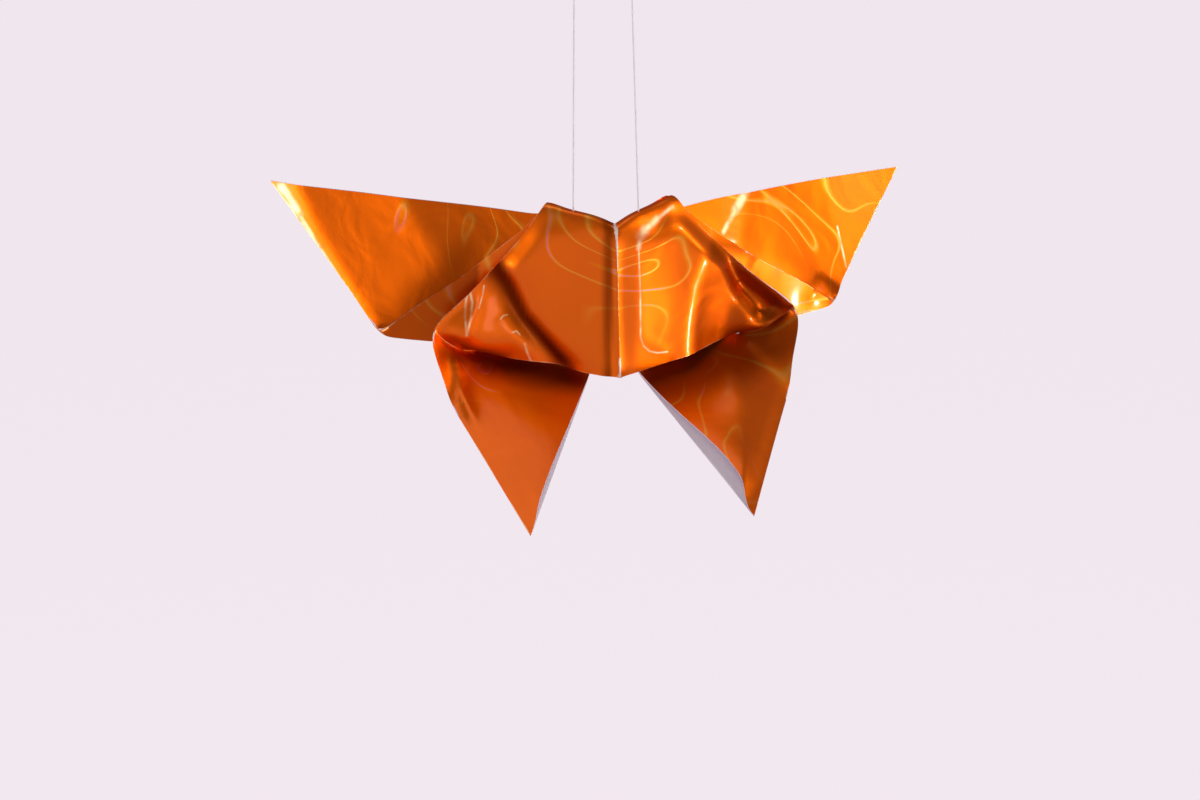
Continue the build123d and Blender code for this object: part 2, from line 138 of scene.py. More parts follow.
class StageSettings(bpy.types.PropertyGroup):
    """Camera, floor and lights"""

    camera_turn: FloatProperty(
        name="Camera turn", description="How far the camera looks to the right of +Y",
        default=0.13576, subtype="ANGLE",
    )
    camera_tilt: FloatProperty(
        name="Camera tilt", description="How far the camera looks down", default=0.32392,
        subtype="ANGLE",
    )
    camera_distance: FloatProperty(
        name="Camera distance", description="From the camera to the top fold",
        default=0.5553, unit="LENGTH",
    )
    floor: FloatVectorProperty(
        name="Floor", description="Colour of the floor", size=3, subtype="COLOR",
        default=(0.86, 0.78, 0.84), min=0.0, max=1.0,
    )


# The folded sheet as panels. A corner is named by its region of the sheet (c, d, i, o,
# from the upper wings' fronts round to the lower wings' fronts), its fold line and its
# side, -1 on the viewer's left, 1 on the right, 0 in the middle. Millimetres.

def vec(*values):
    return np.array(values, float)


def unit(v):
    return v / np.linalg.norm(v)


def between(a, b, share):
    """The place at a share of the way from a to b."""
    return a + (b - a) * share


def heading(hand, sweep, rise):
    """The way out to one side, swept back and raised by angles in degrees."""
    flat = cos(radians(rise))
    return vec(hand * cos(radians(sweep)) * flat, sin(radians(sweep)) * flat, sin(radians(rise)))


def hinged(a, b, from_a, from_b, turn):
    """The point from_a away from a and from_b from b, swung by turn round a to b."""
    axis = unit(b - a)
    span = np.linalg.norm(b - a)
    along = (from_a**2 - from_b**2 + span**2) / (2 * span)
    radius = sqrt(max(from_a**2 - along**2, 0.0))
    front = vec(0, -1, 0)
    front = unit(front - axis * front.dot(axis))
    side = np.cross(axis, front)
    return a + axis * along + (front * cos(radians(turn)) + side * sin(radians(turn))) * radius


class Side:
    """One side's values and, once they are worked out, its places and ways."""

    def __init__(self, hand, **values):
        self.hand = hand
        self.__dict__.update(values)


class Cage:
    """The panels of the folded sheet, as the part's own source lays them out."""

    tip_height = 14.2
    fold_depth = 27.5
    knee_distance = 16.1
    inner_bend = 28.0
    ridge_flat = 1.5
    ridge_front = 1.6
    ridge_drop = 0.9
    layer_gap = 0.24
    thread_hole = 0.66
    hole_steps = 12
    nest = {"o": 0, "i": 1, "d": 2, "c": 3}
    stack = {
        "c": {"band": 3, "wing": 4, "tip": 10},
        "d": {"band": 2, "wing": 5, "tip": 11},
        "i": {"band": 1, "wing": 6, "flap": 9, "tip": 12},
        "o": {"band": 0, "wing": 7, "flap": 8, "tip": 13},
    }
    middle_keys = ("O", "TR", "TB", "TA", "TF", "NB", "NW", "M")

    def __init__(self, side_length):
        self.half = side_length / 2
        self.band_depth = self.half - self.fold_depth
        self.corner = self.half / 2
        self.foot = vec(1.0, 0.0, -32.8)
        self.crown = vec(0.0, 2.2, -2.0)
        self.keel = vec(0.4, 3.9, -28.9)
        self.spots = {}
        self.rings = []
        left = Side(
            -1, wing_sweep=27.4, wing_rise=1.9, elbow_turn=79.2, leg_slack=1.01,
            ridge_sweep=21.9, ridge_rise=6.0, corner_turn=99.4, pucker_take_up=1.3,
            outer_curl=2.0, inner_curl=0.9, low_turn=32.9,
            leg_bow=(0, -0.4, -1.0), edge_bow=(-0.2, 0.9, 0.3), knee_bow=(-2.6, 4.6, -4.4),
            thread_place=8.6, thread_lean=0.3,
        )
        right = Side(
            1, wing_sweep=29.8, wing_rise=0.6, elbow_turn=-64.7, leg_slack=0.935,
            ridge_sweep=28.7, ridge_rise=7.3, corner_turn=-95.0, pucker_take_up=1.3,
            outer_curl=2.8, inner_curl=1.3, low_turn=-32.9,
            leg_bow=(0, -2.0, -0.8), edge_bow=(0.1, 1.0, 0.9), knee_bow=(4.0, 6.5, -6.0),
            thread_place=5.7, thread_lean=-1.6,
        )
        self.sides = (left, right)
        for side in self.sides:
            self.aim(side)
            for region in "cdio":
                self.place_ridge(side, region)
            for region in "cd":
                self.place_upper_wing(side, region)
            for region in "oi":
                self.place_lower_wing(side, region)
            for region in "cdio":
                self.pierce(side, region)
            self.join_panels(side)
        cap = [("c", 0), ("d", -1), ("i", -1), ("o", 0), ("i", 1), ("d", 1)]
        self.rings.append([(region, "O", hand) for region, hand in cap])

    def aim(self, side):
        hand = side.hand
        sweep = radians(side.wing_sweep)
        side.back = vec(-hand * sin(sweep), cos(sweep), 0)
        side.straight_back = vec(0, 1 / side.back[1], 0)
        side.shoulder = heading(hand, side.ridge_sweep, side.ridge_rise) * self.tip_height
        side.wing_tip = self.crown + heading(hand, side.wing_sweep, side.wing_rise) * self.half
        side.elbow = hinged(
            side.wing_tip, self.crown, self.fold_depth * sqrt(2) * side.leg_slack,
            hypot(self.band_depth, self.fold_depth), side.elbow_turn,
        )
        side.corner = hinged(
            side.shoulder, self.foot, (self.corner - self.tip_height) * sqrt(2),
            hypot(self.corner, self.band_depth - self.corner) - side.pucker_take_up,
            side.corner_turn,
        )
        side.fold_way = unit(side.elbow - self.keel)
        side.hinge = self.keel + side.fold_way * self.fold_depth * 0.97
        side.leave = self.keel + side.fold_way * 4.5 + vec(0, 1.6, -4.2)
        side.low_tip = hinged(
            side.corner, side.leave, self.corner * sqrt(2) - side.outer_curl,
            self.half - self.inner_bend - side.inner_curl, side.low_turn,
        )
        side.edge_mid = between(self.crown, side.wing_tip, 0.36) + vec(*side.edge_bow)
        side.knee = between(side.corner, side.low_tip, self.knee_distance / self.corner / sqrt(2))
        side.knee = side.knee + vec(*side.knee_bow)
        side.hole = unit(side.shoulder) * side.thread_place

    def name(self, region, key, hand):
        shared = region in "co" and key in self.middle_keys
        return (region, key, 0 if shared else hand)

    def put(self, region, hand, places):
        for key, place in places.items():
            self.spots[self.name(region, key, hand)] = place

    def panel(self, region, hand, *rings):
        """Rings as they run in regions c and i on the left; d and o mirror them, and so
        does the right."""
        for keys in rings:
            ring = [self.name(region, key, hand) for key in keys.split()]
            if region in "do":
                ring = ring[:1] + ring[:0:-1]
            self.rings.append(ring if hand < 0 else ring[::-1])

    def strip(self, hand, first, second, keys):
        names = keys.split()
        for v1, v2 in zip(names, names[1:]):
            ring = [
                self.name(first, v2, hand), self.name(first, v1, hand),
                self.name(second, v1, hand), self.name(second, v2, hand),
            ]
            self.rings.append(ring if hand < 0 else ring[::-1])

    def place_ridge(self, side, region):
        g = self.layer_gap
        hand = side.hand
        aside = vec(0 if region in "co" else hand * g / 2, 0, 0)
        deep = self.nest[region] * g
        behind = (self.stack[region]["tip"] - 4) * g
        rows = (
            ("F", -self.ridge_front + deep, -self.ridge_drop - 0.4 * deep),
            ("A", -self.ridge_flat / 2 + 0.2 * deep, -deep),
            ("B", self.ridge_flat / 2 - 0.2 * deep, -deep),
        )
        for key, across, up in rows:
            rise = vec(0, 0, up)
            self.put(region, hand, {
                "T" + key: aside + side.straight_back * across + rise,
                "S" + key: side.shoulder + side.back * across + rise,
            })
        rear_middle = self.crown[1] * side.back[1] + behind
        rear_end = (side.edge_mid - side.shoulder).dot(side.back) + behind - 0.2
        tip_foot = vec(0, between(self.crown, self.keel, 0.3)[1], 3.6 - self.tip_height)
        if region in "di":
            tip_foot = tip_foot + vec(hand * 0.3 * g, 0, 0.9 * g)
        low, lower = vec(0, 0, -1.2 - 0.5 * deep), vec(0, 0, -2.2 - 0.5 * deep)
        self.put(region, hand, {
            "TR": aside + side.straight_back * rear_middle + low,
            "SR": side.shoulder + side.back * rear_end + lower,
            "O": aside + tip_foot + side.straight_back * (behind + 0.1),
        })

    def place_upper_wing(self, side, region):
        g = self.layer_gap
        hand = side.hand
        aside = vec(0 if region == "c" else hand * g / 2, 0, 0)
        down = vec(0, 0, 0 if region == "c" else -g)
        wing = (self.stack[region]["wing"] - 4) * g
        band = (self.stack[region]["band"] - 4) * g
        middle = side.straight_back
        leg = between(side.shoulder, side.elbow, 0.5) + vec(*side.leg_bow)
        self.put(region, hand, {
            "NW": self.keel + aside + down + middle * wing,
            "NB": self.keel + aside + down + middle * band,
            "M": self.crown + aside + middle * wing,
            "EW": side.elbow + down + side.back * wing,
            "EB": side.elbow + down + side.back * band,
            "D": side.wing_tip + side.back * wing,
            "U": side.edge_mid + side.back * wing,
            "L": leg + side.back * (band + g),
        })

    def place_lower_wing(self, side, region):
        g = self.layer_gap
        hand = side.hand
        middle = side.straight_back
        inside = 0 if region == "o" else g
        aside = vec(hand * inside / 2, 0, 0)
        wing = (self.stack[region]["wing"] - 4) * g
        flap = (self.stack[region]["flap"] - 4) * g
        lift = vec(0, 0, 1.3 * inside)
        # the middle and the corner where the body meets the lower wing
        low = vec(0, 0, -1.9) + lift
        low_back = vec(0, 0, -1.6 + 5.5 * inside)
        low_front = vec(hand * g * 0.65, 0, -1.4 + 4.6 * inside)
        self.put(region, hand, {
            "NB": self.foot + aside + middle * inside + lift,
            "NW": self.keel + aside + middle * (wing + 0.05) + low,
            "M": self.crown + aside + middle * wing + low_back,
            "MF": self.crown + middle * flap + low_front,
        })
        spot = side.hinge + side.fold_way * 1.45 * inside + lift
        self.put(region, hand, {
            "Q": spot + side.back * (-0.15 + 0.8 * inside) + vec(0, 0, -1.25),
            "QB": spot + side.back * wing + vec(0, 0, -0.95),
            "QF": spot + side.back * (1.0 + 3.2 * inside) + vec(0, 0, -1.3 - 0.3 * inside),
        })
        # the body's front
        swollen = between(self.foot, side.hinge, 0.86) + vec(0.0, -1.4, -1.0)
        low = vec(0, 0, -1.42 + 0.5 * inside) + lift
        wide = side.back * (wing + 0.1 - 0.4 * inside)
        sag = between(side.corner, self.spots[(region, "Q", hand)], 0.55)
        sag = sag + vec(hand * 0.3, -0.7, -1.9)
        waist = between(side.shoulder, side.corner, 0.45) + vec(0.0, -0.4, -0.4)
        self.put(region, hand, {
            "W": swollen + vec(hand, 1.2, 1.8) * inside,
            "WB": between(self.keel, side.hinge, 0.8) + wide + low,
            "P": side.corner + vec(hand * 0.2, 1.4, 0.1) * inside,
            "H": sag + vec(0, 1.6, 0.9) * inside,
            "V": waist + vec(0, inside, 0),
        })
        # the lower wing
        face = unit(np.cross(side.leave - side.hinge, side.low_tip - side.hinge))
        if face[1] < 0:
            face = -face
        side.face = face
        self.put(region, hand, {
            "X": side.leave + face * inside + vec(0, 0.6, -1.0) * inside,
            "R": side.knee + face * inside + vec(0, 1.1, 0.6) * inside,
            "A": side.low_tip + face * inside,
        })

    def pierce(self, side, region):
        """The ridge's flat top in one layer, with the needle hole for the thread."""
        hand = side.hand
        along = unit(side.shoulder)
        level = vec(along[0], along[1], 0)
        centre = side.hole
        ring = []
        for step in range(self.hole_steps):
            turn = 2 * pi * step / self.hole_steps
            place = centre + (level * cos(turn) + side.back * sin(turn)) * self.thread_hole / 2
            share = (place - centre).dot(level) / level.dot(level)
            rise = (side.thread_place + share) * along[2] - self.nest[region] * self.layer_gap
            name = (region, "hole%d" % step, hand)
            self.spots[name] = vec(place[0], place[1], rise)
            ring.append((turn, name))
        corners = []
        for key in ("TB", "TA", "SA", "SB"):
            name = self.name(region, key, hand)
            away = self.spots[name] - centre
            corners.append((atan2(away.dot(side.back), away.dot(level)) % (2 * pi), name))
        corners.sort()
        outer, inner = len(corners), len(ring)
        i = j = 0
        while i < outer or j < inner:
            next_outer = corners[(i + 1) % outer][0] + 2 * pi * ((i + 1) // outer)
            next_inner = ring[(j + 1) % inner][0] + 2 * pi * ((j + 1) // inner)
            here, there = corners[i % outer][1], ring[j % inner][1]
            if j >= inner or (i < outer and next_outer <= next_inner):
                new = [here, corners[(i + 1) % outer][1], there]
                i += 1
            else:
                new = [here, ring[(j + 1) % inner][1], there]
                j += 1
            forward = (region in "ci") == (hand < 0)
            self.rings.append(new if forward else new[::-1])

    def join_panels(self, side):
        hand = side.hand
        panel = self.panel
        for region in "cdio":
            panel(region, hand, "O TR SR", "TR TB SB SR", "TA TF SF SA")
        for region in "cd":
            panel(region, hand, "TF NB L", "NB EB L", "TF L SF", "NB NW EW EB")
            panel(region, hand, "NW M EW", "M U EW", "U D EW")
        for region, corner in (("i", "H Q QF"), ("o", "Q QF H")):
            panel(region, hand, "TF NB W", "TF W V", "TF V SF", "W P V", "W Q H", "W H P")
            panel(region, hand, "NB NW WB W", "W WB QB Q", "NW M WB", "M QB WB", "QB M MF QF")
            panel(region, hand, "Q QB QF", corner, "MF X QF", "X A QF", "QF A R", "QF R H")
            panel(region, hand, "H R P")
        self.strip(hand, "c", "d", "D EW EB L SF SA SB SR O")
        self.strip(hand, "d", "i", "M NW NB TF TA TB TR O")
        self.strip(hand, "i", "o", "A R P V SF SA SB SR O")

    def flat_place(self, name):
        """Where a corner lies on the unfolded sheet, from -1 to 1 both ways."""
        region, key, hand = name
        t, k, h, half = self.tip_height, self.band_depth, self.fold_depth, self.half
        down = {"O": 0, "TR": t - 3.9, "TB": t - 0.8, "TA": t + 0.5, "TF": t + 1.4,
                "NB": k - 0.3, "NW": k + 0.3, "M": half}
        legs = {"SR": t - 2.9, "SB": t - 0.6, "SA": t + 0.4, "SF": t + 1.0,
                "EB": k - 0.3, "EW": k + 0.3, "L": (t + k) / 2, "D": half,
                "V": t + 0.45 * (self.corner - t), "P": self.corner, "R": self.corner + 11.4,
                "A": half}
        free = {"U": (0.36 * half, half), "W": (0.8 * h, k - 1.0), "WB": (0.8 * h, k + 0.6),
                "Q": (h, k - 0.6), "QB": (h - 0.2, k + 0.2), "QF": (h + 0.5, k + 0.3),
                "H": (32.8, 42.2), "MF": (0.4, half), "X": (self.inner_bend, half)}
        if key.startswith("hole"):
            share = 0.6 if hand < 0 else 0.4
            turn = 2 * pi * int(key[4:]) / self.hole_steps
            radius = self.thread_hole / 2
            across, deep = t * share + radius * cos(turn), t - radius * sin(turn)
        elif key in down:
            across, deep = 0, down[key]
        elif key in legs:
            across = deep = legs[key]
        else:
            across, deep = free[key]
        # regions d and i lie on the sheet's sides, c on its top and o on its bottom
        if region in "di":
            across, deep = deep, across
        up = 1 if region in "cd" else -1
        return hand * across / half, up * deep / half


# The fine mesh of the sheet

def split_long(places, flats, faces, kinds, longest, rounds=9):
    """Halves every edge that is longer than its panel allows, with no gaps between."""
    places, flats = list(places), list(flats)
    for _ in range(rounds):
        middle = {}
        new_faces, new_kinds = [], []
        allowed = {}
        for face, kind in zip(faces, kinds):
            for a, b in zip(face, face[1:] + face[:1]):
                edge = (min(a, b), max(a, b))
                allowed[edge] = min(allowed.get(edge, FAR), longest[kind])
        for (a, b), limit in allowed.items():
            if np.linalg.norm(places[a] - places[b]) > limit:
                middle[(a, b)] = len(places)
                places.append((places[a] + places[b]) / 2)
                flats.append((flats[a] + flats[b]) / 2)
        if not middle:
            break
        for face, kind in zip(faces, kinds):
            pairs = zip(face, face[1:] + face[:1])
            cuts = [middle.get((min(a, b), max(a, b))) for a, b in pairs]
            made = sum(cut is not None for cut in cuts)
            if made == 0:
                parts = [face]
            elif made == 3:
                a, b, c = face
                ab, bc, ca = cuts
                parts = [(a, ab, ca), (ab, b, bc), (ca, bc, c), (ab, bc, ca)]
            else:
                turn = next(i for i in range(3) if cuts[i] is not None
                            and (made == 1 or cuts[(i + 1) % 3] is not None))
                a, b, c = (face[(turn + i) % 3] for i in range(3))
                ab, bc = cuts[turn], cuts[(turn + 1) % 3]
                if made == 1:
                    parts = [(a, ab, c), (ab, b, c)]
                else:
                    parts = [(ab, b, bc)]
                    across = np.linalg.norm(places[ab] - places[c])
                    if across < np.linalg.norm(places[a] - places[bc]):
                        parts += [(a, ab, c), (ab, bc, c)]
                    else:
                        parts += [(a, ab, bc), (a, bc, c)]
            new_faces += parts
            new_kinds += [kind] * len(parts)
        faces, kinds = new_faces, new_kinds
    return np.array(places), np.array(flats), np.array(faces), np.array(kinds)


def group_of(ring):
    """The stretch of one layer that a panel belongs to; folds part one from the next."""
    keys = {name[1] for name in ring}
    regions = {name[0] for name in ring}
    hand = sum(name[2] for name in ring)
    hand = (hand > 0) - (hand < 0)
    if len(regions) > 1 or hand == 0:
        return ("fold", "strip", hand)
    region = regions.pop()
    if keys & {"TR", "SR"}:
        zone = "tip"
    elif region in "cd":
        zone = "wing" if keys & {"M", "U"} else "band"
        if keys == {"NB", "NW", "EW", "EB"}:
            zone = "hem"
    elif keys & {"NW", "WB", "M"} and not keys & {"MF"}:
        zone = "base"
    elif keys & {"QB", "QF", "X", "R", "MF"}:
        zone = "flap"
    else:
        zone = "band"
    return (region, zone, hand)


def line_distance(points, line):
    """How far points lie from a line through corners, and on which side of it."""
    best = np.full(len(points), FAR)
    side = np.zeros(len(points))
    for a, b in zip(line, line[1:]):
        a, b = vec(*a), vec(*b)
        way = b - a
        share = np.clip((points - a) @ way / way.dot(way), 0, 1)
        off = points - a - share[:, None] * way
        far = np.linalg.norm(off, axis=1)
        nearer = far < best
        best[nearer] = far[nearer]
        side[nearer] = np.sign(way[0] * off[:, 1] - way[1] * off[:, 0])[nearer]
    return best, side


def ridge(points, line, width, height, sharp=1.6, lean=1.0):
    """A ridge or, with a height below 0, a valley along a line; lean widens its left."""
    far, side = line_distance(points, line)
    wide = np.where(side > 0, width * lean, width)
    return height * np.exp(-(far / wide) ** sharp)


def terrace(points, line, high, fall, low, back):
    """High on the right of a line, falling within a short way to a low on its left,
    and coming back to nothing over a longer way."""
    far, side = line_distance(points, line)
    left = np.where(side > 0, far, 0.0)
    right = np.where(side > 0, 0.0, far)
    drop = high + (low - high) * smooth_step(left / fall)
    level = np.where(left > fall, low * (1 - smooth_step((left - fall) / back)), drop)
    return np.where(side > 0, level, high * np.exp(-((right / 9.0) ** 2)))


def bend(points, line, slope):
    """A panel that turns along a line: nothing on its left, a slope on its right."""
    far, side = line_distance(points, line)
    return np.where(side > 0, 0.0, far) * slope


def bulge(points, centre, wide, high, height):
    """A rounded swelling."""
    away = ((points[:, 0] - centre[0]) / wide) ** 2 + ((points[:, 1] - centre[1]) / high) ** 2
    return height * np.exp(-away)


def crest(points, line, high, lost, slope, steeper, width):
    """A crest that gets lower by lost toward its foot, rounded on its left, and on its
    right a slope that gets steeper toward the foot."""
    far, side = line_distance(points, line)
    low = np.clip((-points[:, 1] - 10) / 22, 0, 1)
    top = high - lost * low
    facet = np.maximum(top - far * (slope + steeper * low), 0.0)
    return np.where(side < 0, facet, top * np.exp(-(far / width) ** 1.3))


def brink(points, line, deep, fall, back):
    """A drop on the right of a line, which comes back in part farther off."""
    beyond = right_of(points, line)
    return -deep * smooth_step(beyond / fall) * (1 - back * smooth_step((beyond - 3) / 5))


def right_of(points, line):
    """How far points on the right of a line lie from it, and 0 for the others."""
    far, side = line_distance(points, line)
    return np.where(side < 0, far, 0.0)


def smooth_step(value):
    value = np.clip(value, 0, 1)
    return value * value * (3 - 2 * value)


def relief(points, forms, out=0.0):
    """The sum of some forms, each given as its function and what that needs."""
    for form, *given in forms:
        out = out + form(points, *given)
    return out


# Lines on the body's front, from its foot up, as the viewer sees them, in millimetres
LEFT_EDGE = [(-8.0, -36.0), (-5.6, -32.0), (-10.6, -25.9), (-15.4, -19.9), (-18.2, -13.4),
             (-22.2, -6.5)]
# Painted highlights where light catches fine creases, ridges and edges: half the width, then the
# corners, in millimetres
BODY_HIGHLIGHTS = (
    (0.3, [(4.5, -5.4), (4.9, -16.0), (5.1, -24.6), (5.8, -26.6), (7.1, -27.9), (8.8, -28.5),
           (10.8, -28.5)]),
    (1.5, [(4.9, -3.6), (5.9, -2.8)]),
    (1.0, [(5.9, -2.8), (8.6, -1.0)]),
    (0.6, [(8.6, -1.0), (12.0, 0.9)]),
    (0.8, [(4.8, -4.2), (4.5, -6.0)]),
    (0.4, [(-28.4, -14.6), (-29.0, -17.6), (-29.3, -20.6), (-29.1, -24.6), (-28.2, -21.0),
           (-27.8, -18.0), (-28.4, -14.6)]),
    (0.26, [(-25.4, -14.6), (-25.7, -16.6), (-26.5, -19.2)]),
    (0.24, [(-22.2, -21.5), (-21.6, -20.9), (-20.8, -20.8)]),
    (0.24, [(-19.9, -24.3), (-19.1, -24.1), (-18.4, -24.9)]),
    (0.4, [(-17.5, -26.8), (-17.0, -28.6), (-16.2, -30.6)]),
)
WING_HIGHLIGHTS = (
    (1.3, [(29.6, -0.8), (26.9, -3.6)]),
    (0.8, [(26.9, -3.6), (24.0, -7.0)]),
    (0.35, [(50.4, -10.5), (51.7, -18.2)]),
    (1.5, [(-64.0, -0.6), (-61.0, -5.4)]),
    (0.8, [(-61.0, -5.4), (-53.2, -18.0)]),
    (0.45, [(-53.2, -18.0), (-47.4, -26.4)]),
)
RIGHT_CREST = [(15.3, -34.5), (15.5, -25.0), (16.2, -15.4), (19.2, -5.5)]
RIGHT_BRINK = [(31.0, -28.0), (28.6, -24.8), (24.5, -17.5), (21.0, -9.0), (19.6, -5.5)]

# Forms on the body's front, the upper wings and the lower wings, left and right
FRONTS = (
    (
        (bulge, (-22.5, -27.0), 7.5, 6.5, 2.4),
        (bulge, (-29.5, -24.0), 4.0, 5.5, 0.9),
        (terrace, LEFT_EDGE, 1.5, 2.8, -1.1, 4.0),
        (ridge, [(-26.6, -14.0), (-27.2, -20.0), (-28.4, -25.0)], 0.9, 0.9, 1.3),
        (ridge, [(-24.8, -13.0), (-24.4, -17.5)], 0.7, -0.5, 1.4),
        (ridge, [(-21.6, -21.5), (-18.6, -25.3), (-16.0, -28.5)], 0.8, 0.45, 1.3),
    ),
    (
        (bulge, (6.0, -16.0), 7.0, 14.0, 0.9),
        (crest, RIGHT_CREST, 2.7, 0.6, 0.16, 0.22, 6.5),
        (brink, RIGHT_BRINK, 3.1, 2.2, 0.75),
        (ridge, [(27.0, -13.5), (29.5, -21.5)], 1.2, 0.8, 1.3),
        (ridge, [(4.7, -6.4), (4.9, -16.0), (5.1, -24.1), (10.6, -28.6)], 0.6, 0.14, 1.4),
    ),
)
WINGS = (
    (
        (bend, [(-63.0, 6.0), (-57.0, -8.0), (-44.0, -30.0)], -0.2),
        (ridge, [(-40.0, 0.0), (-33.0, -12.0)], 6.0, 0.5, 1.4),
    ),
    (
        (bend, [(51.9, -30.0), (51.6, -18.0), (49.8, -10.9), (46.0, 6.0)], 0.06),
        (ridge, [(43.0, -22.0), (45.8, -18.7), (50.5, -21.0)], 2.0, -0.3, 1.3),
        (bulge, (46.5, -21.5), 2.6, 2.4, 0.25),
        (ridge, [(30.0, 0.0), (27.0, -9.0)], 3.5, 0.4, 1.4),
    ),
)
FLAPS = (
    (
        (ridge, [(-31.6, -27.0), (-30.8, -35.1), (-29.8, -38.5)], 1.8, 0.7, 1.5),
        (bulge, (-17.0, -42.0), 8.0, 9.0, 0.3),
    ),
    (
        (bulge, (26.0, -38.0), 8.0, 9.0, 0.9),
    ),
)
# How deep the body's foot lies under its top, as the lean of the centre fold takes it
FOOT_DEPTH = 33
# How far each lower wing's raw edge draws back and stands off, and how late it does
CURLS = ((0.8, 0.4, 2.0), (2.7, 1.1, 2.1))
# How far each shoulder is lifted and each outer corner moved out
SHIFTS = ((1.0, 1.7), (1.2, 2.2))


class FineSheet:
    """The panels split into a fine mesh, softened, puckered and given a thickness."""

    # the share of the way to the neighbours' middle that a corner goes in one round, on
    # a panel and on a fold, and the share of the rounds in which the folds move too
    pull = 0.6
    line_pull = 0.5
    line_rounds = 0.3
    blur_rounds = 3
    # how many corners are measured at one time
    batch = 4000
    # how much longer than the finest edge the edges of a zone may be
    shown = {"band": 1.0, "flap": 1.1, "wing": 1.6, "base": 2.4, "tip": 1.6, "hem": 1.8}
    other = 1.2
    hidden = 2.6

    def __init__(self, cage, finest):
        names = sorted(cage.spots)
        number = {name: i for i, name in enumerate(names)}
        places = [cage.spots[name] for name in names]
        flats = [vec(*cage.flat_place(name)) for name in names]
        groups = sorted({group_of(ring) for ring in cage.rings})
        self.groups = groups
        faces, kinds = [], []
        for ring in cage.rings:
            kind = groups.index(group_of(ring))
            ids = [number[name] for name in ring]
            for b, c in zip(ids[1:], ids[2:]):
                faces.append((ids[0], b, c))
                kinds.append(kind)
        longest = [finest * self.shown.get(zone, self.other) for region, zone, hand in groups]
        for i, (region, zone, hand) in enumerate(groups):
            if (region, zone) in (("c", "band"), ("i", "base")):
                longest[i] = finest * self.hidden
        self.cage = cage
        made = split_long(places, flats, faces, kinds, longest)
        self.places, self.flats, self.faces, self.kinds = made
        self.read_edges()

    def read_edges(self):
        """Sorts the edges: raw ones have one face, folded ones part two stretches, and a
        fold's strip has edges on its two sides and inside."""
        faces = self.faces
        directed = np.vstack([faces[:, [0, 1]], faces[:, [1, 2]], faces[:, [2, 0]]])
        owner = np.tile(self.kinds, 3)
        low = directed.min(axis=1).astype(np.int64)
        high = directed.max(axis=1).astype(np.int64)
        size = len(self.places)
        code = low * size + high
        order = np.argsort(code, kind="stable")
        unique, start, count = np.unique(code[order], return_index=True, return_counts=True)
        first = order[start]
        second = order[np.minimum(start + 1, len(order) - 1)]
        self.edge_ends = np.stack([unique // size, unique % size], axis=1)
        self.raw = count == 1
        apart = owner[first] != owner[second]
        strip = np.array([zone == "strip" for _, zone, _ in self.groups])
        self.folded = apart & ~self.raw
        self.on_strip = self.folded & (strip[owner[first]] ^ strip[owner[second]])
        self.inside_strip = ~self.raw & strip[owner[first]] & strip[owner[second]]
        self.rim = directed[first[self.raw]]

    def mean_of_neighbours(self, ends, wanted, values=None):
        values = self.places if values is None else values
        size = len(self.places)
        pairs = ends[wanted]
        a = np.concatenate([pairs[:, 0], pairs[:, 1]])
        b = np.concatenate([pairs[:, 1], pairs[:, 0]])
        count = np.bincount(a, minlength=size)
        total = [np.bincount(a, column[b], minlength=size) for column in values.T]
        return np.stack(total, axis=1) / np.maximum(count, 1)[:, None], count

    def on_edges(self, *kinds):
        """Which corners lie on edges of these kinds."""
        chosen = np.zeros(len(self.places), bool)
        for wanted in kinds:
            chosen[self.edge_ends[wanted].ravel()] = True
        return chosen

    def soften(self, rounds):
        """Rounds the panels where they meet inside a stretch, and the folds along
        themselves, so that two layers that share a fold keep their distance."""
        every = np.ones(len(self.edge_ends), bool)
        held = self.on_edges(self.raw, self.folded, self.inside_strip)
        inside = held & ~self.on_edges(self.raw, self.folded)
        lines = self.raw | self.on_strip
        plain = self.folded & ~self.on_strip
        for turn in range(rounds):
            mean, _ = self.mean_of_neighbours(self.edge_ends, every)
            moved = self.places.copy()
            moved[~held] += (mean - self.places)[~held] * self.pull
            spread, _ = self.mean_of_neighbours(self.edge_ends, every, self.flats)
            self.flats[~held] += (spread - self.flats)[~held] * self.pull
            if turn < rounds * self.line_rounds:
                mean, count = self.mean_of_neighbours(self.edge_ends, lines)
                two = held & (count == 2)
                moved[two] += (mean - self.places)[two] * self.line_pull
                mean, count_plain = self.mean_of_neighbours(self.edge_ends, plain)
                two = held & (count == 0) & (count_plain == 2)
                moved[two] += (mean - self.places)[two] * self.line_pull
            self.places = moved
            mean, _ = self.mean_of_neighbours(self.edge_ends, every)
            self.places[inside] = mean[inside]

    def members(self, regions, zones, hand=None):
        wanted = [
            i for i, (region, zone, side) in enumerate(self.groups)
            if region in regions and zone in zones and (hand is None or side == hand)
        ]
        chosen = np.zeros(len(self.places), bool)
        chosen[self.faces[np.isin(self.kinds, wanted)].ravel()] = True
        return chosen

    def far_from(self, line_points):
        """How far each corner of the mesh lies from the nearest of some others."""
        spots = self.places[line_points]
        far = np.full(len(self.places), FAR)
        for i in range(0, len(self.places), self.batch):
            part = self.places[i:i + self.batch]
            gap = part[:, None, :] - spots[None, :, :]
            far[i:i + self.batch] = np.sqrt((gap ** 2).sum(axis=2).min(axis=1))
        return far

    def pucker(self):
        """The creases and swellings of the body's front, the same in both layers."""
        flat = self.places[:, [0, 2]]
        for side, forms in zip(self.cage.sides, FRONTS):
            front = self.members("oi", ("band",), side.hand)
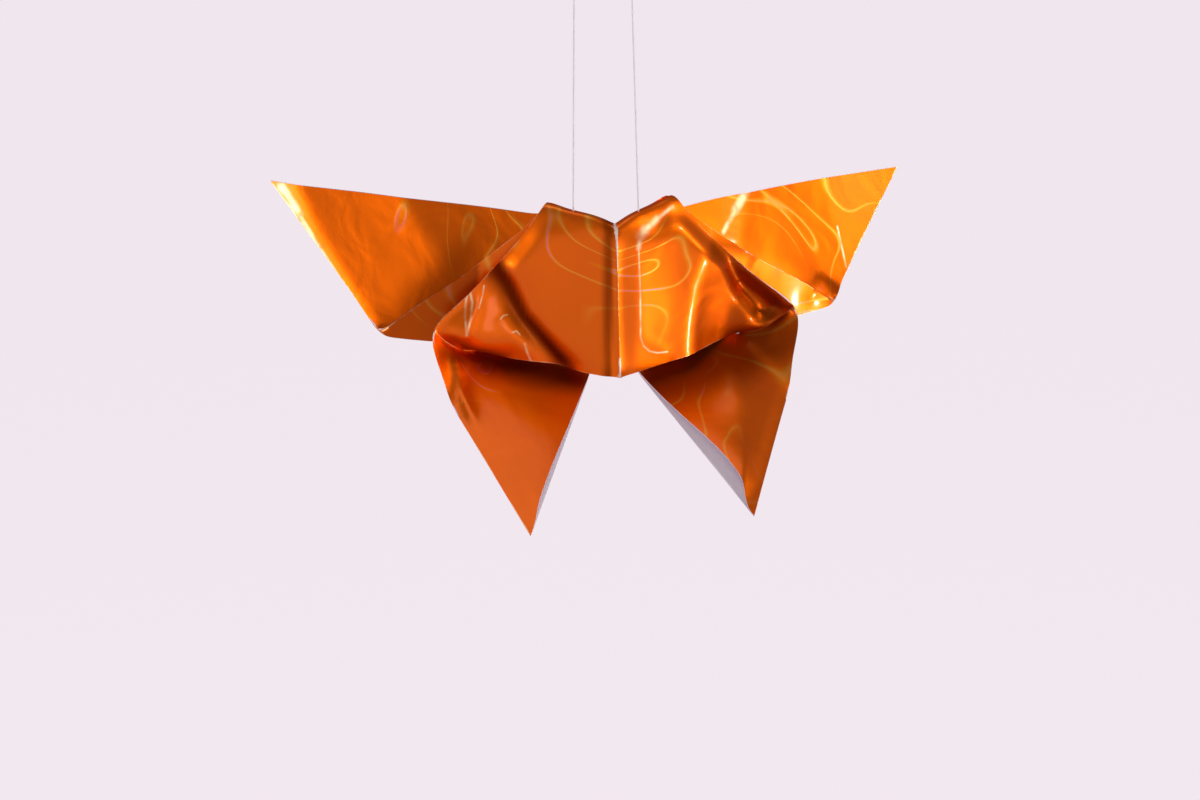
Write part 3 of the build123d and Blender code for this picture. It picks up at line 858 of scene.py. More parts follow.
            # nothing moves at the centre fold, along the ridge or on the outer fold
            outer, _ = line_distance(flat, [side.shoulder[[0, 2]], side.corner[[0, 2]]])
            lean = self.cage.foot[0] * -self.places[:, 2] / FOOT_DEPTH
            centre = abs(self.places[:, 0] - lean)
            top = -self.places[:, 2] - 1.0 + abs(self.places[:, 0]) * 0.12
            mask = smooth_step(outer / 3.5) * smooth_step((centre - 0.3) / 3)
            mask = mask * smooth_step((top - 1.0) / 4)
            # where the front meets the lower wing little moves, but its lower fold may
            seam = self.members("oi", ("flap",), side.hand) & front
            fade = smooth_step(self.far_from(seam) / 3.0) * 0.8 + 0.2
            base = self.members("oi", ("base",), side.hand)
            below = base & ~front
            depth = self.far_from(base & front)
            fade = np.where(below, fade * (1 - smooth_step(depth / 5.0)), fade)
            # the mesh's steps are smoothed out of the creases
            chosen = front | below
            pairs = self.edge_ends[chosen[self.edge_ends].all(axis=1)]
            out = relief(flat, forms) * mask * fade
            count = np.bincount(pairs.ravel(), minlength=len(out))
            for _ in range(self.blur_rounds):
                total = np.bincount(pairs[:, 0], out[pairs[:, 1]], minlength=len(out))
                total += np.bincount(pairs[:, 1], out[pairs[:, 0]], minlength=len(out))
                out = np.where(count > 0, 0.5 * out + 0.5 * total / np.maximum(count, 1), out)
            self.places[chosen, 1] -= out[chosen]

    def curl_flaps(self):
        """The lower wings' front layer draws back from its raw edge and stands off,
        which shows the white inside of the layer behind it."""
        cage = self.cage
        for side, (draw, lift, late), forms in zip(cage.sides, CURLS, FLAPS):
            flap = self.members("o", ("flap",), side.hand)
            across = abs(self.flats[:, 0]) * cage.half
            deep = abs(self.flats[:, 1]) * cage.half
            along = np.clip((across - cage.inner_bend) / (cage.half - cage.inner_bend), 0, 1)
            swell = np.abs(np.sin(pi * along ** late)) ** 0.8
            near = smooth_step((deep - (cage.half - 15)) / 15)
            near = near * smooth_step((deep - across) / 9)
            edge = unit(side.low_tip - side.leave)
            inward = np.cross(edge, side.face)
            if inward[0] * side.hand < 0:
                inward = -inward
            amount = (swell * near)[:, None]
            shift = amount * (inward * draw - side.face * lift)
            self.places[flap] += shift[flap]
            both = self.members("oi", ("flap",), side.hand)
            flat = self.places[:, [0, 2]]
            hem = [side.corner[[0, 2]], side.knee[[0, 2]], side.low_tip[[0, 2]]]
            from_hem, _ = line_distance(flat, hem)
            held = self.members("oi", ("band", "base"), side.hand) & both
            out = relief(flat, forms) * smooth_step(from_hem / 2.5)
            out = out * smooth_step(self.far_from(held) / 4.0)
            self.places[both] -= (side.face * out[:, None])[both]

    def settle(self):
        """Shoulders a little higher, a sharper notch between them, wider corners: the
        same shift for all the layers at one place."""
        x, z = self.places[:, 0].copy(), self.places[:, 2].copy()
        upper = smooth_step((z + 12) / 9)
        rise = -1.3 * np.exp(-(abs(x) / 3.0) ** 1.3)
        for side, (lift, spread) in zip(self.cage.sides, SHIFTS):
            ahead = smooth_step((11.5 - self.places[:, 1]) / 5)
            rise = rise + lift * ahead * np.exp(-((x - side.shoulder[0]) / 3.2) ** 2)
            spot = side.corner[[0, 2]] + vec(0, -2.5)
            near = np.exp(-((x - spot[0]) / 8.0) ** 2 - ((z - spot[1]) / 7.5) ** 2)
            self.places[:, 0] += side.hand * spread * near
        self.places[:, 2] += rise * upper

    def sway(self):
        """A slight wave in the wings, the same in all the layers at one place."""
        flat = self.places[:, [0, 2]]
        for side, forms in zip(self.cage.sides, WINGS):
            x = flat[:, 0] * side.hand
            z = flat[:, 1]
            wave = 0.25 * np.sin(x / 9.5 + z / 14) * smooth_step((x - 22) / 22)
            out = relief(flat, forms, wave)
            wing = (x > 16) & (self.places[:, 1] > 6 + 0.12 * x)
            front = self.members("oi", ("band", "flap"), side.hand)
            strength = smooth_step((x - 16) / 14)
            shift = -side.back * (out * strength)[:, None]
            chosen = wing & ~front
            self.places[chosen] += shift[chosen]

    def hollows(self, way):
        """How much painted shade each corner gets, from 0 to 1, where shade falls on the body's
        front, the wings and the lower wings.
        """
        flat = self.places[:, [0, 2]]
        x, z = flat[:, 0], flat[:, 1]
        dark = np.zeros(len(flat))

        def darken(where, amount):
            dark[where] = np.maximum(dark, amount)[where]

        def close_to(line, start, fade):
            far, _ = line_distance(flat, line)
            return 1 - smooth_step((far - start) / fade)

        # painted shade beside the crisp edge on the left
        front = self.members("o", ("band", "base"))
        far, side = line_distance(flat, LEFT_EDGE)
        beyond = np.where(side > 0, far, 0.0)
        wide = 4.0 + 2.4 * smooth_step((z + 34) / 26)
        zone = smooth_step((beyond - 0.2) / 2.0)
        zone = zone * (1 - smooth_step((beyond - wide * 0.5) / (wide * 0.8)))
        darken(front & (x < 0), zone)
        # painted shade beside the centre fold
        zone = smooth_step((-x - 0.3) / 0.8) * (1 - smooth_step((-x - 1.6) / 1.6))
        darken(front, 0.7 * zone)
        # painted shade on the facet beyond the right crest, and in the hollow beyond the facet
        darken(front & (x > 0), 0.6 * smooth_step(right_of(flat, RIGHT_CREST) / 2.0))
        darken(front & (x > 0), 0.7 * smooth_step(right_of(flat, RIGHT_BRINK) / 2.2))
        # painted shade on the wings: inward, above their turned up edge, and on the panel below it
        wing = self.members("cd", ("wing",)) & (way[:, 1] < -0.3)
        shade = 0.25 * smooth_step((x + 58) / 28)
        edge = close_to([(-45.4, -27.7), (-31.0, -14.5), (-14.0, 1.5)], 0.0, 6.5)
        shade = shade + 0.5 * edge * smooth_step((-x - 20) / 14)
        darken(wing & (x < 0), shade)
        darken(self.members("cd", ("band",), -1) & (x < -26), 0.55)
        darken(wing & (x > 0), 0.75 * close_to([(45.4, -19.8), (48.6, -22.4)], 1.1, 1.3))
        # painted shadow of the body on the lower wings
        flaps = self.members("o", ("flap",)) & ~front
        line = [(-3.0, -34.5), (-24.2, -31.7), (-33.0, -28.6)]
        darken(flaps & (x < 0), 0.8 * close_to(line, 0.3, 3.0))
        far, _ = line_distance(flat, [(4.0, -34.5), (16.0, -32.0), (34.0, -26.5)])
        zone = 1 - smooth_step((far - 1.5 - 0.05 * x) / 5.0)
        darken(flaps & (x > 0), 0.7 * zone)
        return dark

    def normals(self):
        """Each corner's way out, and how much farther it goes where stretches meet."""
        a, b, c = (self.places[self.faces[:, i]] for i in range(3))
        ways = np.cross(b - a, c - a)
        size = len(self.groups)
        code = (self.faces.astype(np.int64) * size + self.kinds[:, None]).ravel()
        unique, place = np.unique(code, return_inverse=True)
        total = np.zeros((len(unique), 3))
        for i in range(3):
            total[:, i] = np.bincount(place, np.repeat(ways[:, i], 3), minlength=len(unique))
        total /= np.maximum(np.linalg.norm(total, axis=1), 1e-12)[:, None]
        corner = unique // size
        mean = np.zeros_like(self.places)
        for i in range(3):
            mean[:, i] = np.bincount(corner, total[:, i], minlength=len(self.places))
        mean /= np.maximum(np.linalg.norm(mean, axis=1), 1e-12)[:, None]
        reach = np.bincount(corner, (mean[corner] * total).sum(axis=1), minlength=len(self.places))
        reach /= np.maximum(np.bincount(corner, minlength=len(self.places)), 1)
        return mean, reach

    def thick(self, thickness):
        """Closed mesh: the foil side, the paper side and the cut rim between them."""
        way, reach = self.normals()
        push = way * (thickness / 2 / np.maximum(reach, 0.6))[:, None]
        size = len(self.places)
        corners = np.vstack([self.places + push, self.places - push])
        foil = self.faces
        paper = self.faces[:, ::-1] + size
        start, end = self.rim[:, 0], self.rim[:, 1]
        rim = np.vstack([
            np.stack([start, start + size, end + size], axis=1),
            np.stack([start, end + size, end], axis=1),
        ])
        faces = np.vstack([foil, paper, rim])
        slots = np.concatenate([np.zeros(len(foil), int), np.ones(len(paper) + len(rim), int)])
        creased = self.on_edges(self.folded, self.inside_strip).astype(float)
        creased[self.members("cdio", ("tip",))] *= 0.4
        centre = self.members("o", ("band",), -1) & self.members("o", ("band",), 1)
        height = self.places[:, 2]
        cracked = (centre & ((height > -9.5) | (height < -28.0))).astype(float)
        body = self.members("o", ("band", "base")).astype(float)
        wing = (self.members("cd", ("wing",)) & (way[:, 1] < -0.3)).astype(float)
        # marks: folds, cracks, painted shade, and the body's and wings' fronts that show the
        # painted highlights
        marks = np.stack([creased, cracked, self.hollows(way), body, wing], axis=1)
        return corners, faces, slots, np.tile(self.flats, (2, 1)), np.tile(marks, (2, 1))


def mesh_from(name, corners, faces, slots, flats, marks):
    mesh = bpy.data.meshes.new(name)
    mesh.from_pydata((corners * MM).tolist(), [], faces.tolist())
    mesh.polygons.foreach_set("material_index", slots.astype(np.int32))
    mesh.polygons.foreach_set("use_smooth", np.ones(len(faces), bool))
    uv = mesh.uv_layers.new(name="Sheet")
    loops = np.zeros(len(mesh.loops), np.int32)
    mesh.loops.foreach_get("vertex_index", loops)
    uv.data.foreach_set("uv", ((flats[loops] + 1) / 2).astype(np.float32).ravel())
    for column, label in enumerate(("fold", "crack", "hollow", "body", "wing")):
        value = mesh.attributes.new(label, "FLOAT", "POINT")
        value.data.foreach_set("value", marks[:, column].astype(np.float32))
    mesh.update()
    mesh.set_sharp_from_angle(angle=SHARP_TURN)
    return mesh


# Materials

def new_group(name, inputs, outputs):
    """A node group with its sockets: the tree, what is given to it and its way out."""
    group = bpy.data.node_groups.new(name, "ShaderNodeTree")
    for label, kind, value in inputs:
        socket = group.interface.new_socket(label, in_out="INPUT", socket_type="NodeSocket" + kind)
        if value is not None:
            socket.default_value = value
    for label in outputs:
        group.interface.new_socket(label, in_out="OUTPUT", socket_type="NodeSocketFloat")
    entry = group.nodes.new("NodeGroupInput")
    return group, entry.outputs, group.nodes.new("NodeGroupOutput")


def fill(tree, node, inputs):
    """Links or sets a node's inputs, by name or number."""
    for socket, given in inputs.items():
        if isinstance(given, bpy.types.NodeSocket):
            tree.links.new(given, node.inputs[socket])
        else:
            node.inputs[socket].default_value = given


def add(tree, kind, inputs=(), **values):
    """A node with its properties, and then its inputs."""
    node = tree.nodes.new(kind)
    for key, value in values.items():
        setattr(node, key, value)
    fill(tree, node, dict(inputs))
    return node


def math(tree, operation, *values):
    return add(tree, "ShaderNodeMath", enumerate(values), operation=operation).outputs[0]


def vectors(tree, operation, *values, result="Vector"):
    node = add(tree, "ShaderNodeVectorMath", enumerate(values), operation=operation)
    return node.outputs[result]


def noise(tree, place, scale, detail, **more):
    inputs = {"Vector": place, "Scale": scale, "Detail": detail, **more}
    return add(tree, "ShaderNodeTexNoise", inputs).outputs["Fac"]


def mark(tree, name):
    """A value that the mesh carries at its corners."""
    return add(tree, "ShaderNodeAttribute", attribute_name=name).outputs["Fac"]


def ramp(tree, value, low, high, from_low=0.0, from_high=1.0):
    """A soft step from low to high while the value goes from one bound to the other."""
    inputs = {"Value": value, "From Min": from_low, "From Max": from_high,
              "To Min": low, "To Max": high}
    node = add(tree, "ShaderNodeMapRange", inputs, interpolation_type="SMOOTHSTEP")
    return node.outputs["Result"]


def blend_colours(tree, share, first, second):
    """From the first colour at a share of 0 to the second at 1."""
    inputs = {0: share, 6: first, 7: second}
    return add(tree, "ShaderNodeMix", inputs, data_type="RGBA").outputs[2]


def wavy_lines_group():
    """Thin lines at even heights of a slow noise, as in a printed foil."""
    group, given, leave = new_group(
        "Wavy foil lines",
        [("Vector", "Vector", None), ("Scale", "Float", 4.6), ("Lines", "Float", 7.0),
         ("Width", "Float", 0.05)],
        ("Line", "Tinge", "Glow"),
    )
    sheet = given["Vector"]
    slow = noise(group, sheet, given["Scale"], 0.6, Roughness=0.4, Distortion=1.3)
    beat = math(group, "PINGPONG", math(group, "MULTIPLY", slow, given["Lines"]), 0.5)
    thin = ramp(group, beat, 1.0, 0.0, 0.0, given["Width"])
    wide = ramp(group, beat, 1.0, 0.0, 0.0, 0.12)
    patch = noise(group, sheet, 4.3, 1.0, Distortion=0.4)
    shown = ramp(group, patch, 0.0, 1.0, 0.46, 0.62)
    fill(group, leave, {
        "Line": math(group, "MULTIPLY", thin, shown),
        "Tinge": ramp(group, noise(group, sheet, 9.0, 0.5), 0.0, 1.0, 0.55, 0.66),
        "Glow": math(group, "MULTIPLY", wide, shown),
    })
    return group


def wear_group():
    """A patchy mask along a fold, for cracks that show the paper's white and for rubbed foil with a
    painted fold highlight.
    """
    group, given, leave = new_group(
        "Worn fold",
        [("Vector", "Vector", None), ("Fold", "Float", 0.0), ("Least", "Float", 0.74)],
        ("Wear",),
    )
    grain = noise(group, given["Vector"], 900.0, 3.0, Roughness=0.7)
    patch = noise(group, given["Vector"], 110.0, 2.0)
    both = math(group, "MULTIPLY", math(group, "ADD", grain, patch), 0.62)
    level = math(group, "ADD", math(group, "SUBTRACT", both, given["Least"]), given["Fold"])
    fill(group, leave, {"Wear": ramp(group, level, 0.0, 1.0, 0.78, 0.86)})
    return group


def highlight_line_group():
    """A thin painted highlight line between two places, seen from the front."""
    group, given, leave = new_group(
        "Fine crease",
        [("Vector", "Vector", None), ("From", "Vector", (0, 0, 0)), ("To", "Vector", (0, 0, 0)),
         ("Width", "Float", 0.0003)],
        ("Line",),
    )
    way = vectors(group, "SUBTRACT", given["To"], given["From"])
    off = vectors(group, "SUBTRACT", given["Vector"], given["From"])
    share = math(group, "DIVIDE", vectors(group, "DOT_PRODUCT", off, way, result="Value"),
                 vectors(group, "DOT_PRODUCT", way, way, result="Value"))
    share = math(group, "MINIMUM", math(group, "MAXIMUM", share, 0.0), 1.0)
    along = add(group, "ShaderNodeVectorMath", {0: way, "Scale": share}, operation="SCALE")
    far = vectors(group, "DISTANCE", off, along.outputs["Vector"], result="Value")
    fill(group, leave, {"Line": ramp(group, far, 1.0, 0.0, 0.0, given["Width"])})
    return group


def new_material(name):
    material = bpy.data.materials.new(name)
    material.use_nodes = True
    tree = material.node_tree
    tree.nodes.clear()
    leave = tree.nodes.new("ShaderNodeOutputMaterial")
    skin = tree.nodes.new("ShaderNodeBsdfPrincipled")
    tree.links.new(skin.outputs["BSDF"], leave.inputs["Surface"])
    return material, tree, skin


def painted_highlights(tree, place):
    """The painted highlights: thin lit lines on the body's front and the wings, where each is
    shown.
    """
    level = vectors(tree, "MULTIPLY", place, (1, 0, 1))
    group, highlight_lines = highlight_line_group(), None
    for gate, streaks in (("body", BODY_HIGHLIGHTS), ("wing", WING_HIGHLIGHTS)):
        found = None
        for width, corners in streaks:
            for (x, z), (x_end, z_end) in zip(corners, corners[1:]):
                line = add(tree, "ShaderNodeGroup", node_tree=group, inputs={
                    "Vector": level, "From": (x * MM, 0, z * MM),
                    "To": (x_end * MM, 0, z_end * MM), "Width": width * MM,
                }).outputs["Line"]
                found = line if found is None else math(tree, "MAXIMUM", found, line)
        found = math(tree, "MULTIPLY", found, mark(tree, gate))
        highlight_lines = found if highlight_lines is None else math(tree, "MAXIMUM", highlight_lines, found)
    highlight_breakup = ramp(tree, noise(tree, place, 320.0, 2.0), 0.3, 0.9, 0.36, 0.62)
    return math(tree, "MULTIPLY", highlight_lines, highlight_breakup)


def foil_material(colour, crumple):
    material, tree, skin = new_material("foil")

    def times(first, second):
        return math(tree, "MULTIPLY", first, second)

    place = add(tree, "ShaderNodeTexCoord").outputs["Object"]
    sheet = add(tree, "ShaderNodeUVMap", uv_map="Sheet").outputs["UV"]
    lines = add(tree, "ShaderNodeGroup", node_tree=wavy_lines_group(),
                inputs={"Vector": sheet}).outputs
    wear = wear_group()
    # rubbed foil along every fold, painted pale as the fold's highlight too
    rubbed_and_lit = add(tree, "ShaderNodeGroup", node_tree=wear,
                 inputs={"Vector": place, "Fold": mark(tree, "fold")}).outputs["Wear"]
    worn = add(tree, "ShaderNodeGroup", node_tree=wear, inputs={
        "Vector": place, "Fold": mark(tree, "crack"), "Least": 0.55,
    }).outputs["Wear"]
    # painted shade: darker foil where shade falls, with a thinner coat
    hollow = mark(tree, "hollow")
    highlight_lines = painted_highlights(tree, place)
    bright = blend_colours(tree, lines["Tinge"], ORANGE_LINE, PINK_LINE)
    shown = (*colour, 1)
    # over the foil's own colour: the print's lines, rubbed folds with a painted fold highlight,
    # painted shade, painted highlights, then bare paper at cracks
    for share, over in (
        (lines["Glow"], LINE_GLOW), (times(lines["Line"], 0.85), bright),
        (times(rubbed_and_lit, 0.7), RUBBED_AND_LIT), (hollow, SHADE), (highlight_lines, PAINTED_HIGHLIGHT),
        (worn, BARE_PAPER),
    ):
        shown = blend_colours(tree, share, shown, over)
    bare = math(tree, "SUBTRACT", 1.0, worn)
    dents = noise(tree, place, 95.0, 2.5, Roughness=0.5, Distortion=0.5)
    height = math(tree, "ADD", dents, times(noise(tree, place, 2600.0, 1.0), 0.03))
    height = math(tree, "ADD", height, times(lines["Line"], 0.05))
    bump = add(tree, "ShaderNodeBump", {
        "Height": height, "Distance": crumple * 4, "Strength": 0.55,
    })
    fill(tree, skin, {
        "Base Color": shown,
        # the painted highlights are less metallic and whiter; the painted shade has less coat
        "Metallic": math(tree, "SUBTRACT", times(bare, 0.95), times(highlight_lines, 0.25)),
        "Roughness": 0.42,
        "Specular Tint": FOIL_SHINE,
        "Coat Weight": times(math(tree, "SUBTRACT", 1.0, hollow), 0.13),
        "Coat IOR": 1.9,
        "Coat Roughness": 0.13,
        "Normal": bump.outputs["Normal"],
    })
    return material


def paper_material(colour):
    material, tree, skin = new_material("paper")
    place = add(tree, "ShaderNodeTexCoord").outputs["Object"]
    grain = noise(tree, place, 1500.0, 3.0)
    lighter = tuple(min(1.0, value * 1.06) for value in colour) + (1,)
    bump = add(tree, "ShaderNodeBump", {"Height": grain, "Distance": 0.00003})
    fill(tree, skin, {
        "Base Color": blend_colours(tree, grain, (*colour, 1), lighter),
        "Roughness": 0.75,
        "Normal": bump.outputs["Normal"],
    })
    return material


def thread_material():
    material, tree, skin = new_material("thread")
    fill(tree, skin, {"Base Color": (0.95, 0.92, 0.95, 1), "Roughness": 0.55})
    return material


def floor_material(colour):
    material, tree, skin = new_material("floor")
    # the far part of the floor glows, as a lit backdrop does
    place = add(tree, "ShaderNodeTexCoord").outputs["Object"]
    ahead = add(tree, "ShaderNodeSeparateXYZ", {"Vector": place}).outputs["Y"]
    share = ramp(tree, ahead, 0.0, 1.0, 0.25, 0.5)
    near = (*(value * 0.6 for value in colour), 1)
    fill(tree, skin, {
        "Base Color": (*(value * 0.2 for value in colour), 1),
        "Roughness": 0.9,
        "Specular IOR Level": 0.0,
        "Emission Color": blend_colours(tree, share, near, (*colour, 1)),
        "Emission Strength": 0.97,
    })
    return material


# The threads

def twist_tree():
    """A node tree that makes strands twist round each other along a curve."""
    tree = bpy.data.node_groups.new("Twisted strands", "GeometryNodeTree")
    face = tree.interface
    face.new_socket("Geometry", in_out="INPUT", socket_type="NodeSocketGeometry")
    for label, kind, value in (
        ("Diameter", "NodeSocketFloat", 0.00036), ("Strands", "NodeSocketInt", 3),
        ("Pitch", "NodeSocketFloat", 0.0016), ("Step", "NodeSocketFloat", 0.00012),
        ("Material", "NodeSocketMaterial", None),
    ):
        socket = face.new_socket(label, in_out="INPUT", socket_type=kind)
        if value is not None:
            socket.default_value = value
    face.new_socket("Geometry", in_out="OUTPUT", socket_type="NodeSocketGeometry")
    given = tree.nodes.new("NodeGroupInput").outputs
    leave = tree.nodes.new("NodeGroupOutput")
    even = add(tree, "GeometryNodeResampleCurve", mode="LENGTH", inputs={
        "Curve": given["Geometry"], "Length": given["Step"],
    })
    copies = add(tree, "GeometryNodeDuplicateElements", domain="SPLINE", inputs={
        "Geometry": even.outputs["Curve"], "Amount": given["Strands"],
    })
    along = add(tree, "GeometryNodeSplineParameter").outputs["Length"]
    share = math(tree, "DIVIDE", copies.outputs["Duplicate Index"], given["Strands"])
    rounds = math(tree, "ADD", math(tree, "DIVIDE", along, given["Pitch"]), share)
    turn = math(tree, "MULTIPLY", rounds, 2 * pi)
    # the strands' middles and their own radius, as shares of the thread's diameter
    reach = math(tree, "MULTIPLY", given["Diameter"], 0.268)
    radius = math(tree, "MULTIPLY", given["Diameter"], 0.235)
    up = tree.nodes.new("GeometryNodeInputNormal").outputs[0]
    ahead = tree.nodes.new("GeometryNodeInputTangent").outputs[0]
    aside = vectors(tree, "CROSS_PRODUCT", ahead, up)
    parts = []
    for direction, wave in ((up, "COSINE"), (aside, "SINE")):
        amount = math(tree, "MULTIPLY", math(tree, wave, turn), reach)
        part = add(tree, "ShaderNodeVectorMath", {0: direction, "Scale": amount}, operation="SCALE")
        parts.append(part.outputs[0])
    moved = add(tree, "GeometryNodeSetPosition", {
        "Geometry": copies.outputs["Geometry"], "Offset": vectors(tree, "ADD", *parts),
    })
    ring = add(tree, "GeometryNodeCurvePrimitiveCircle", {"Resolution": 6, "Radius": radius})
    tube = add(tree, "GeometryNodeCurveToMesh", {
        "Curve": moved.outputs["Geometry"], "Profile Curve": ring.outputs["Curve"],
        "Fill Caps": True,
    })
    whole = add(tree, "GeometryNodeRealizeInstances", {"Geometry": tube.outputs["Mesh"]})
    painted = add(tree, "GeometryNodeSetMaterial", {
        "Geometry": whole.outputs["Geometry"], "Material": given["Material"],
    })
    fill(tree, leave, {"Geometry": painted.outputs["Geometry"]})
    return tree


def curve_object(name, points, closed=False):
    curve = bpy.data.curves.new(name, "CURVE")
    curve.dimensions = "3D"
    curve.resolution_u = 16
    spline = curve.splines.new("NURBS")
    spline.points.add(len(points) - 1)
    for point, place in zip(spline.points, points):
        point.co = (*place, 1)
    spline.order_u = 3
    spline.use_endpoint_u = not closed
    spline.use_cyclic_u = closed
    obj = bpy.data.objects.new(name, curve)
    bpy.context.scene.collection.objects.link(obj)
    return obj


def twisted(route, name, tree, diameter, plies, material):
    """A plain mesh of twisted strands along a curve object."""
    modifier = route.modifiers.new("Strands", "NODES")
    modifier.node_group = tree
    values = {"Diameter": diameter, "Strands": plies, "Pitch": diameter * PITCH_PER_DIAMETER,
              "Step": diameter / STEPS_PER_DIAMETER, "Material": material}
    for item in tree.interface.items_tree:
        if item.in_out == "INPUT" and item.name in values:
            modifier[item.identifier] = values[item.name]
    bpy.context.view_layer.update()
    graph = bpy.context.evaluated_depsgraph_get()
    mesh = bpy.data.meshes.new_from_object(route.evaluated_get(graph))
    mesh.name = name
    route.modifiers.remove(modifier)
    obj = bpy.data.objects.new(name, mesh)
    bpy.context.scene.collection.objects.link(obj)
    for polygon in mesh.polygons:
        polygon.use_smooth = True
    return obj


def circle(centre, radius, steps):
    """Places round an upright ring, in millimetres."""
    turns = [2 * pi * i / steps for i in range(steps)]
    return [centre + vec(cos(a), 0, sin(a)) * radius for a in turns]


def tie(spot, steps):
    """Places along a trefoil knot, in millimetres."""
    turns = [2 * pi * i / steps for i in range(steps)]
    return [
        spot + KNOT_SIZE * vec(sin(a) + 2 * sin(2 * a), -1.4 * sin(3 * a), cos(a) - 2 * cos(2 * a))
        for a in turns
    ]


def joined(parts, name):
    with bpy.context.temp_override(
        active_object=parts[0], object=parts[0],
        selected_objects=parts, selected_editable_objects=parts,
    ):
        bpy.ops.object.join()
    parts[0].name = name
    return parts[0]


# Operators: one for the stage, one for the threads and one for the sheet

class BUTTERFLY_OT_stage(bpy.types.Operator):
    """Adds the camera, the pale floor and the soft lights"""
    bl_idname = "butterfly.stage"
    bl_label = "Stage"

    def execute(self, context):
        values = context.scene.butterfly_stage
        turn, tilt, away = values.camera_turn, values.camera_tilt, values.camera_distance
        ahead = Vector((sin(turn) * cos(tilt), cos(turn) * cos(tilt), -sin(tilt)))
        right = Vector((cos(turn), -sin(turn), 0))
        up = right.cross(ahead)
        lens = bpy.data.cameras.new("camera")
        lens.lens = 85
        lens.sensor_width = 36
        lens.clip_start = 0.01
        lens.clip_end = 50
        camera = bpy.data.objects.new("camera", lens)
        camera.location = right * CAMERA_ASIDE + up * CAMERA_ABOVE - ahead * away
        camera.rotation_euler = Matrix((right, up, -ahead)).transposed().to_euler()
        context.scene.collection.objects.link(camera)
        context.scene.camera = camera
        context.scene.view_settings.view_transform = "Standard"

        mesh = bpy.data.meshes.new("floor")
        corners = [
            (x * FLOOR_REACH, y * FLOOR_REACH, FLOOR_HEIGHT)
            for x, y in ((-1, -1), (1, -1), (1, 1), (-1, 1))
        ]
        mesh.from_pydata(corners, [], [(0, 1, 2, 3)])
        mesh.materials.append(floor_material(values.floor))
        floor = bpy.data.objects.new("floor", mesh)
        context.scene.collection.objects.link(floor)

        middle = Vector(MIDDLE)
        for name, way, distance, width, power, colour in LAMPS:
            data = bpy.data.lights.new(name, "AREA")
            data.shape = "DISK"
            data.size = width
            data.energy = power
            data.color = colour
            lamp = bpy.data.objects.new(name, data)
            lamp.location = middle + Vector(way).normalized() * distance
            lamp.rotation_euler = (middle - lamp.location).to_track_quat("-Z", "Y").to_euler()
            context.scene.collection.objects.link(lamp)
        world = bpy.data.worlds.new("studio")
        world.use_nodes = True
        fill(world.node_tree, world.node_tree.nodes["Background"], {
            "Color": WORLD_COLOUR, "Strength": WORLD_STRENGTH,
        })
        context.scene.world = world
        return {"FINISHED"}


class BUTTERFLY_OT_threads(bpy.types.Operator):
    """Adds the two threads that the butterfly hangs by, with their knots and loops"""
    bl_idname = "butterfly.threads"
    bl_label = "Threads"

    def execute(self, context):
        values = context.scene.butterfly_threads
        tree = twist_tree()
        material = thread_material()
        across = values.diameter
        cage = Cage(context.scene.butterfly_sheet.side * PER_METRE)
        for side, name in zip(cage.sides, ("left", "right")):
            top = vec(side.hole[0] + side.thread_lean, side.hole[1], THREAD_TOP)
            way = unit(top - side.hole)
            layers = 3 * cage.layer_gap + HALF_PAPER
            low = side.hole - way * (layers + KNOT_SLACK + KNOT_HEIGHT / 2)
            stops = [tuple(between(low, top, share / 4) * MM) for share in range(5)]
            route = curve_object(name + "_thread_route", stops)
            context.view_layer.update()
            path = bpy.data.meshes.new_from_object(route)
            bpy.data.meshes.remove(path)
            thread = twisted(route, name + "_thread_twist", tree, across, values.plies, material)
            bpy.data.objects.remove(route)
            radius = LOOP_RADIUS + across / MM / 2
            ends = []
            for places, label in (
                (circle(top + vec(0, 0, radius), radius, 12), "ring"),
                (tie(low, 30), "low"), (tie(top, 30), "top"),
            ):
                points = [tuple(place * MM) for place in places]
                loop = curve_object(name + "_" + label, points, closed=True)
                ends.append(twisted(loop, name + "_" + label + "_twist", tree, across,
                                    values.plies, material))
                bpy.data.objects.remove(loop)
            ends = joined(ends, name + "_thread_ends")
            for piece in (thread, ends):
                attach(piece, "root")
            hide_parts(name + "_thread")
            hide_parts(name + "_thread")
        return {"FINISHED"}


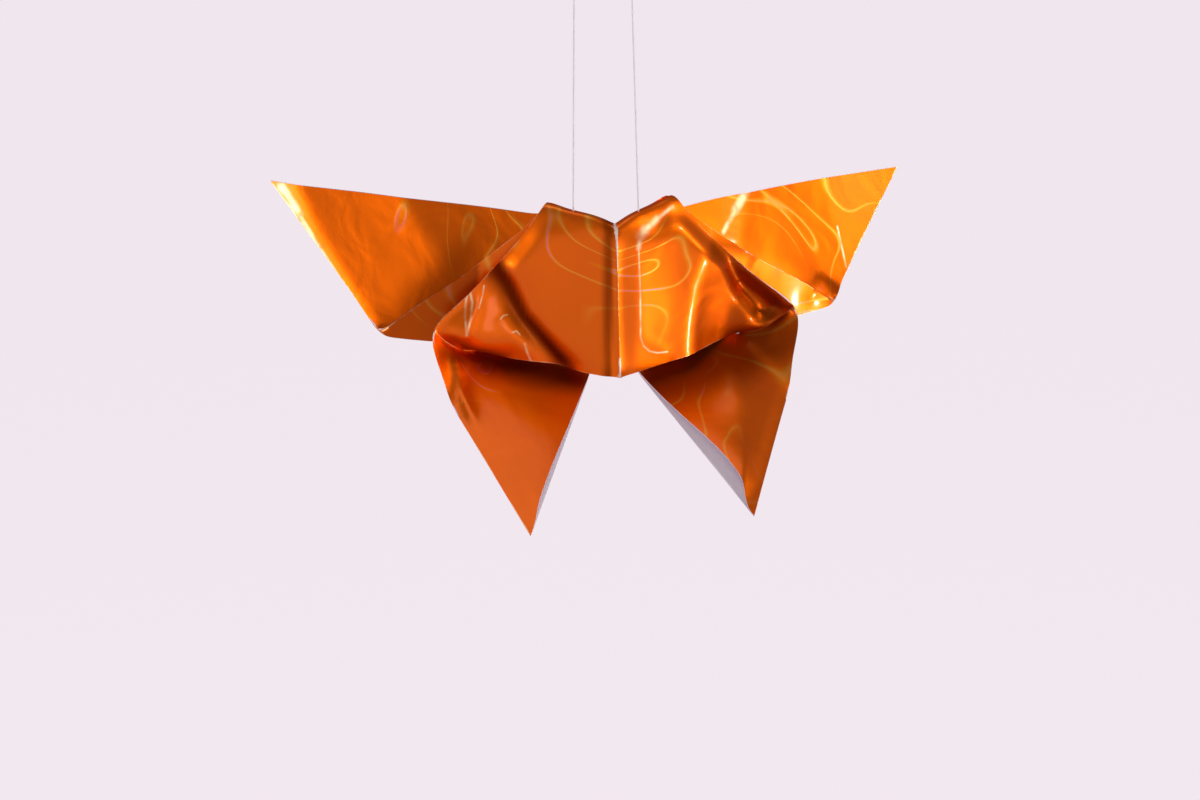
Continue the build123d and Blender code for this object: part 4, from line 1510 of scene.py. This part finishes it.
class BUTTERFLY_OT_sheet(bpy.types.Operator):
    """Adds the folded sheet: foil on one side, white paper on the other"""
    bl_idname = "butterfly.sheet"
    bl_label = "Folded Sheet"

    def execute(self, context):
        values = context.scene.butterfly_sheet
        finest = values.finest * PER_METRE * 1.0
        sheet = FineSheet(Cage(values.side * PER_METRE), finest)
        sheet.soften(ROUNDS)
        sheet.pucker()
        sheet.settle()
        sheet.sway()
        sheet.curl_flaps()
        parts = sheet.thick(values.thickness * PER_METRE)
        mesh = mesh_from("folded_butterfly", *parts)
        mesh.materials.append(foil_material(values.foil, values.crumple))
        mesh.materials.append(paper_material(values.paper))
        piece = bpy.data.objects.new("folded_butterfly", mesh)
        context.scene.collection.objects.link(piece)
        print("sheet:", len(mesh.vertices), "corners", len(mesh.polygons), "faces")
        if len(mesh.polygons) > MOST_FACES:
            raise RuntimeError("the sheet's mesh is too fine")
        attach(piece, "root")
        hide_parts("folded_paper")
        return {"FINISHED"}


class BUTTERFLY_PT_panel(bpy.types.Panel):
    """The butterfly's sizes and colours, and its three making steps"""
    bl_idname = "BUTTERFLY_PT_panel"
    bl_label = "Butterfly"
    bl_space_type = "VIEW_3D"
    bl_region_type = "UI"
    bl_category = "Butterfly"

    def draw(self, context):
        layout = self.layout
        scene = context.scene
        for title, group, operator in (
            ("Stage", scene.butterfly_stage, "butterfly.stage"),
            ("Threads", scene.butterfly_threads, "butterfly.threads"),
            ("Sheet", scene.butterfly_sheet, "butterfly.sheet"),
        ):
            box = layout.box()
            box.label(text=title)
            for name in group.__annotations__:
                box.prop(group, name)
            box.operator(operator)


CLASSES = (
    SheetSettings,
    ThreadSettings,
    StageSettings,
    BUTTERFLY_OT_stage,
    BUTTERFLY_OT_threads,
    BUTTERFLY_OT_sheet,
    BUTTERFLY_PT_panel,
)


def register():
    for item in CLASSES:
        bpy.utils.register_class(item)
    bpy.types.Scene.butterfly_sheet = PointerProperty(type=SheetSettings)
    bpy.types.Scene.butterfly_threads = PointerProperty(type=ThreadSettings)
    bpy.types.Scene.butterfly_stage = PointerProperty(type=StageSettings)


def unregister():
    del bpy.types.Scene.butterfly_sheet
    del bpy.types.Scene.butterfly_threads
    del bpy.types.Scene.butterfly_stage
    for item in reversed(CLASSES):
        bpy.utils.unregister_class(item)


def main():
    register()
    bpy.ops.butterfly.stage()
    bpy.ops.butterfly.threads()
    bpy.ops.butterfly.sheet()


if __name__ == "__main__":
    main()
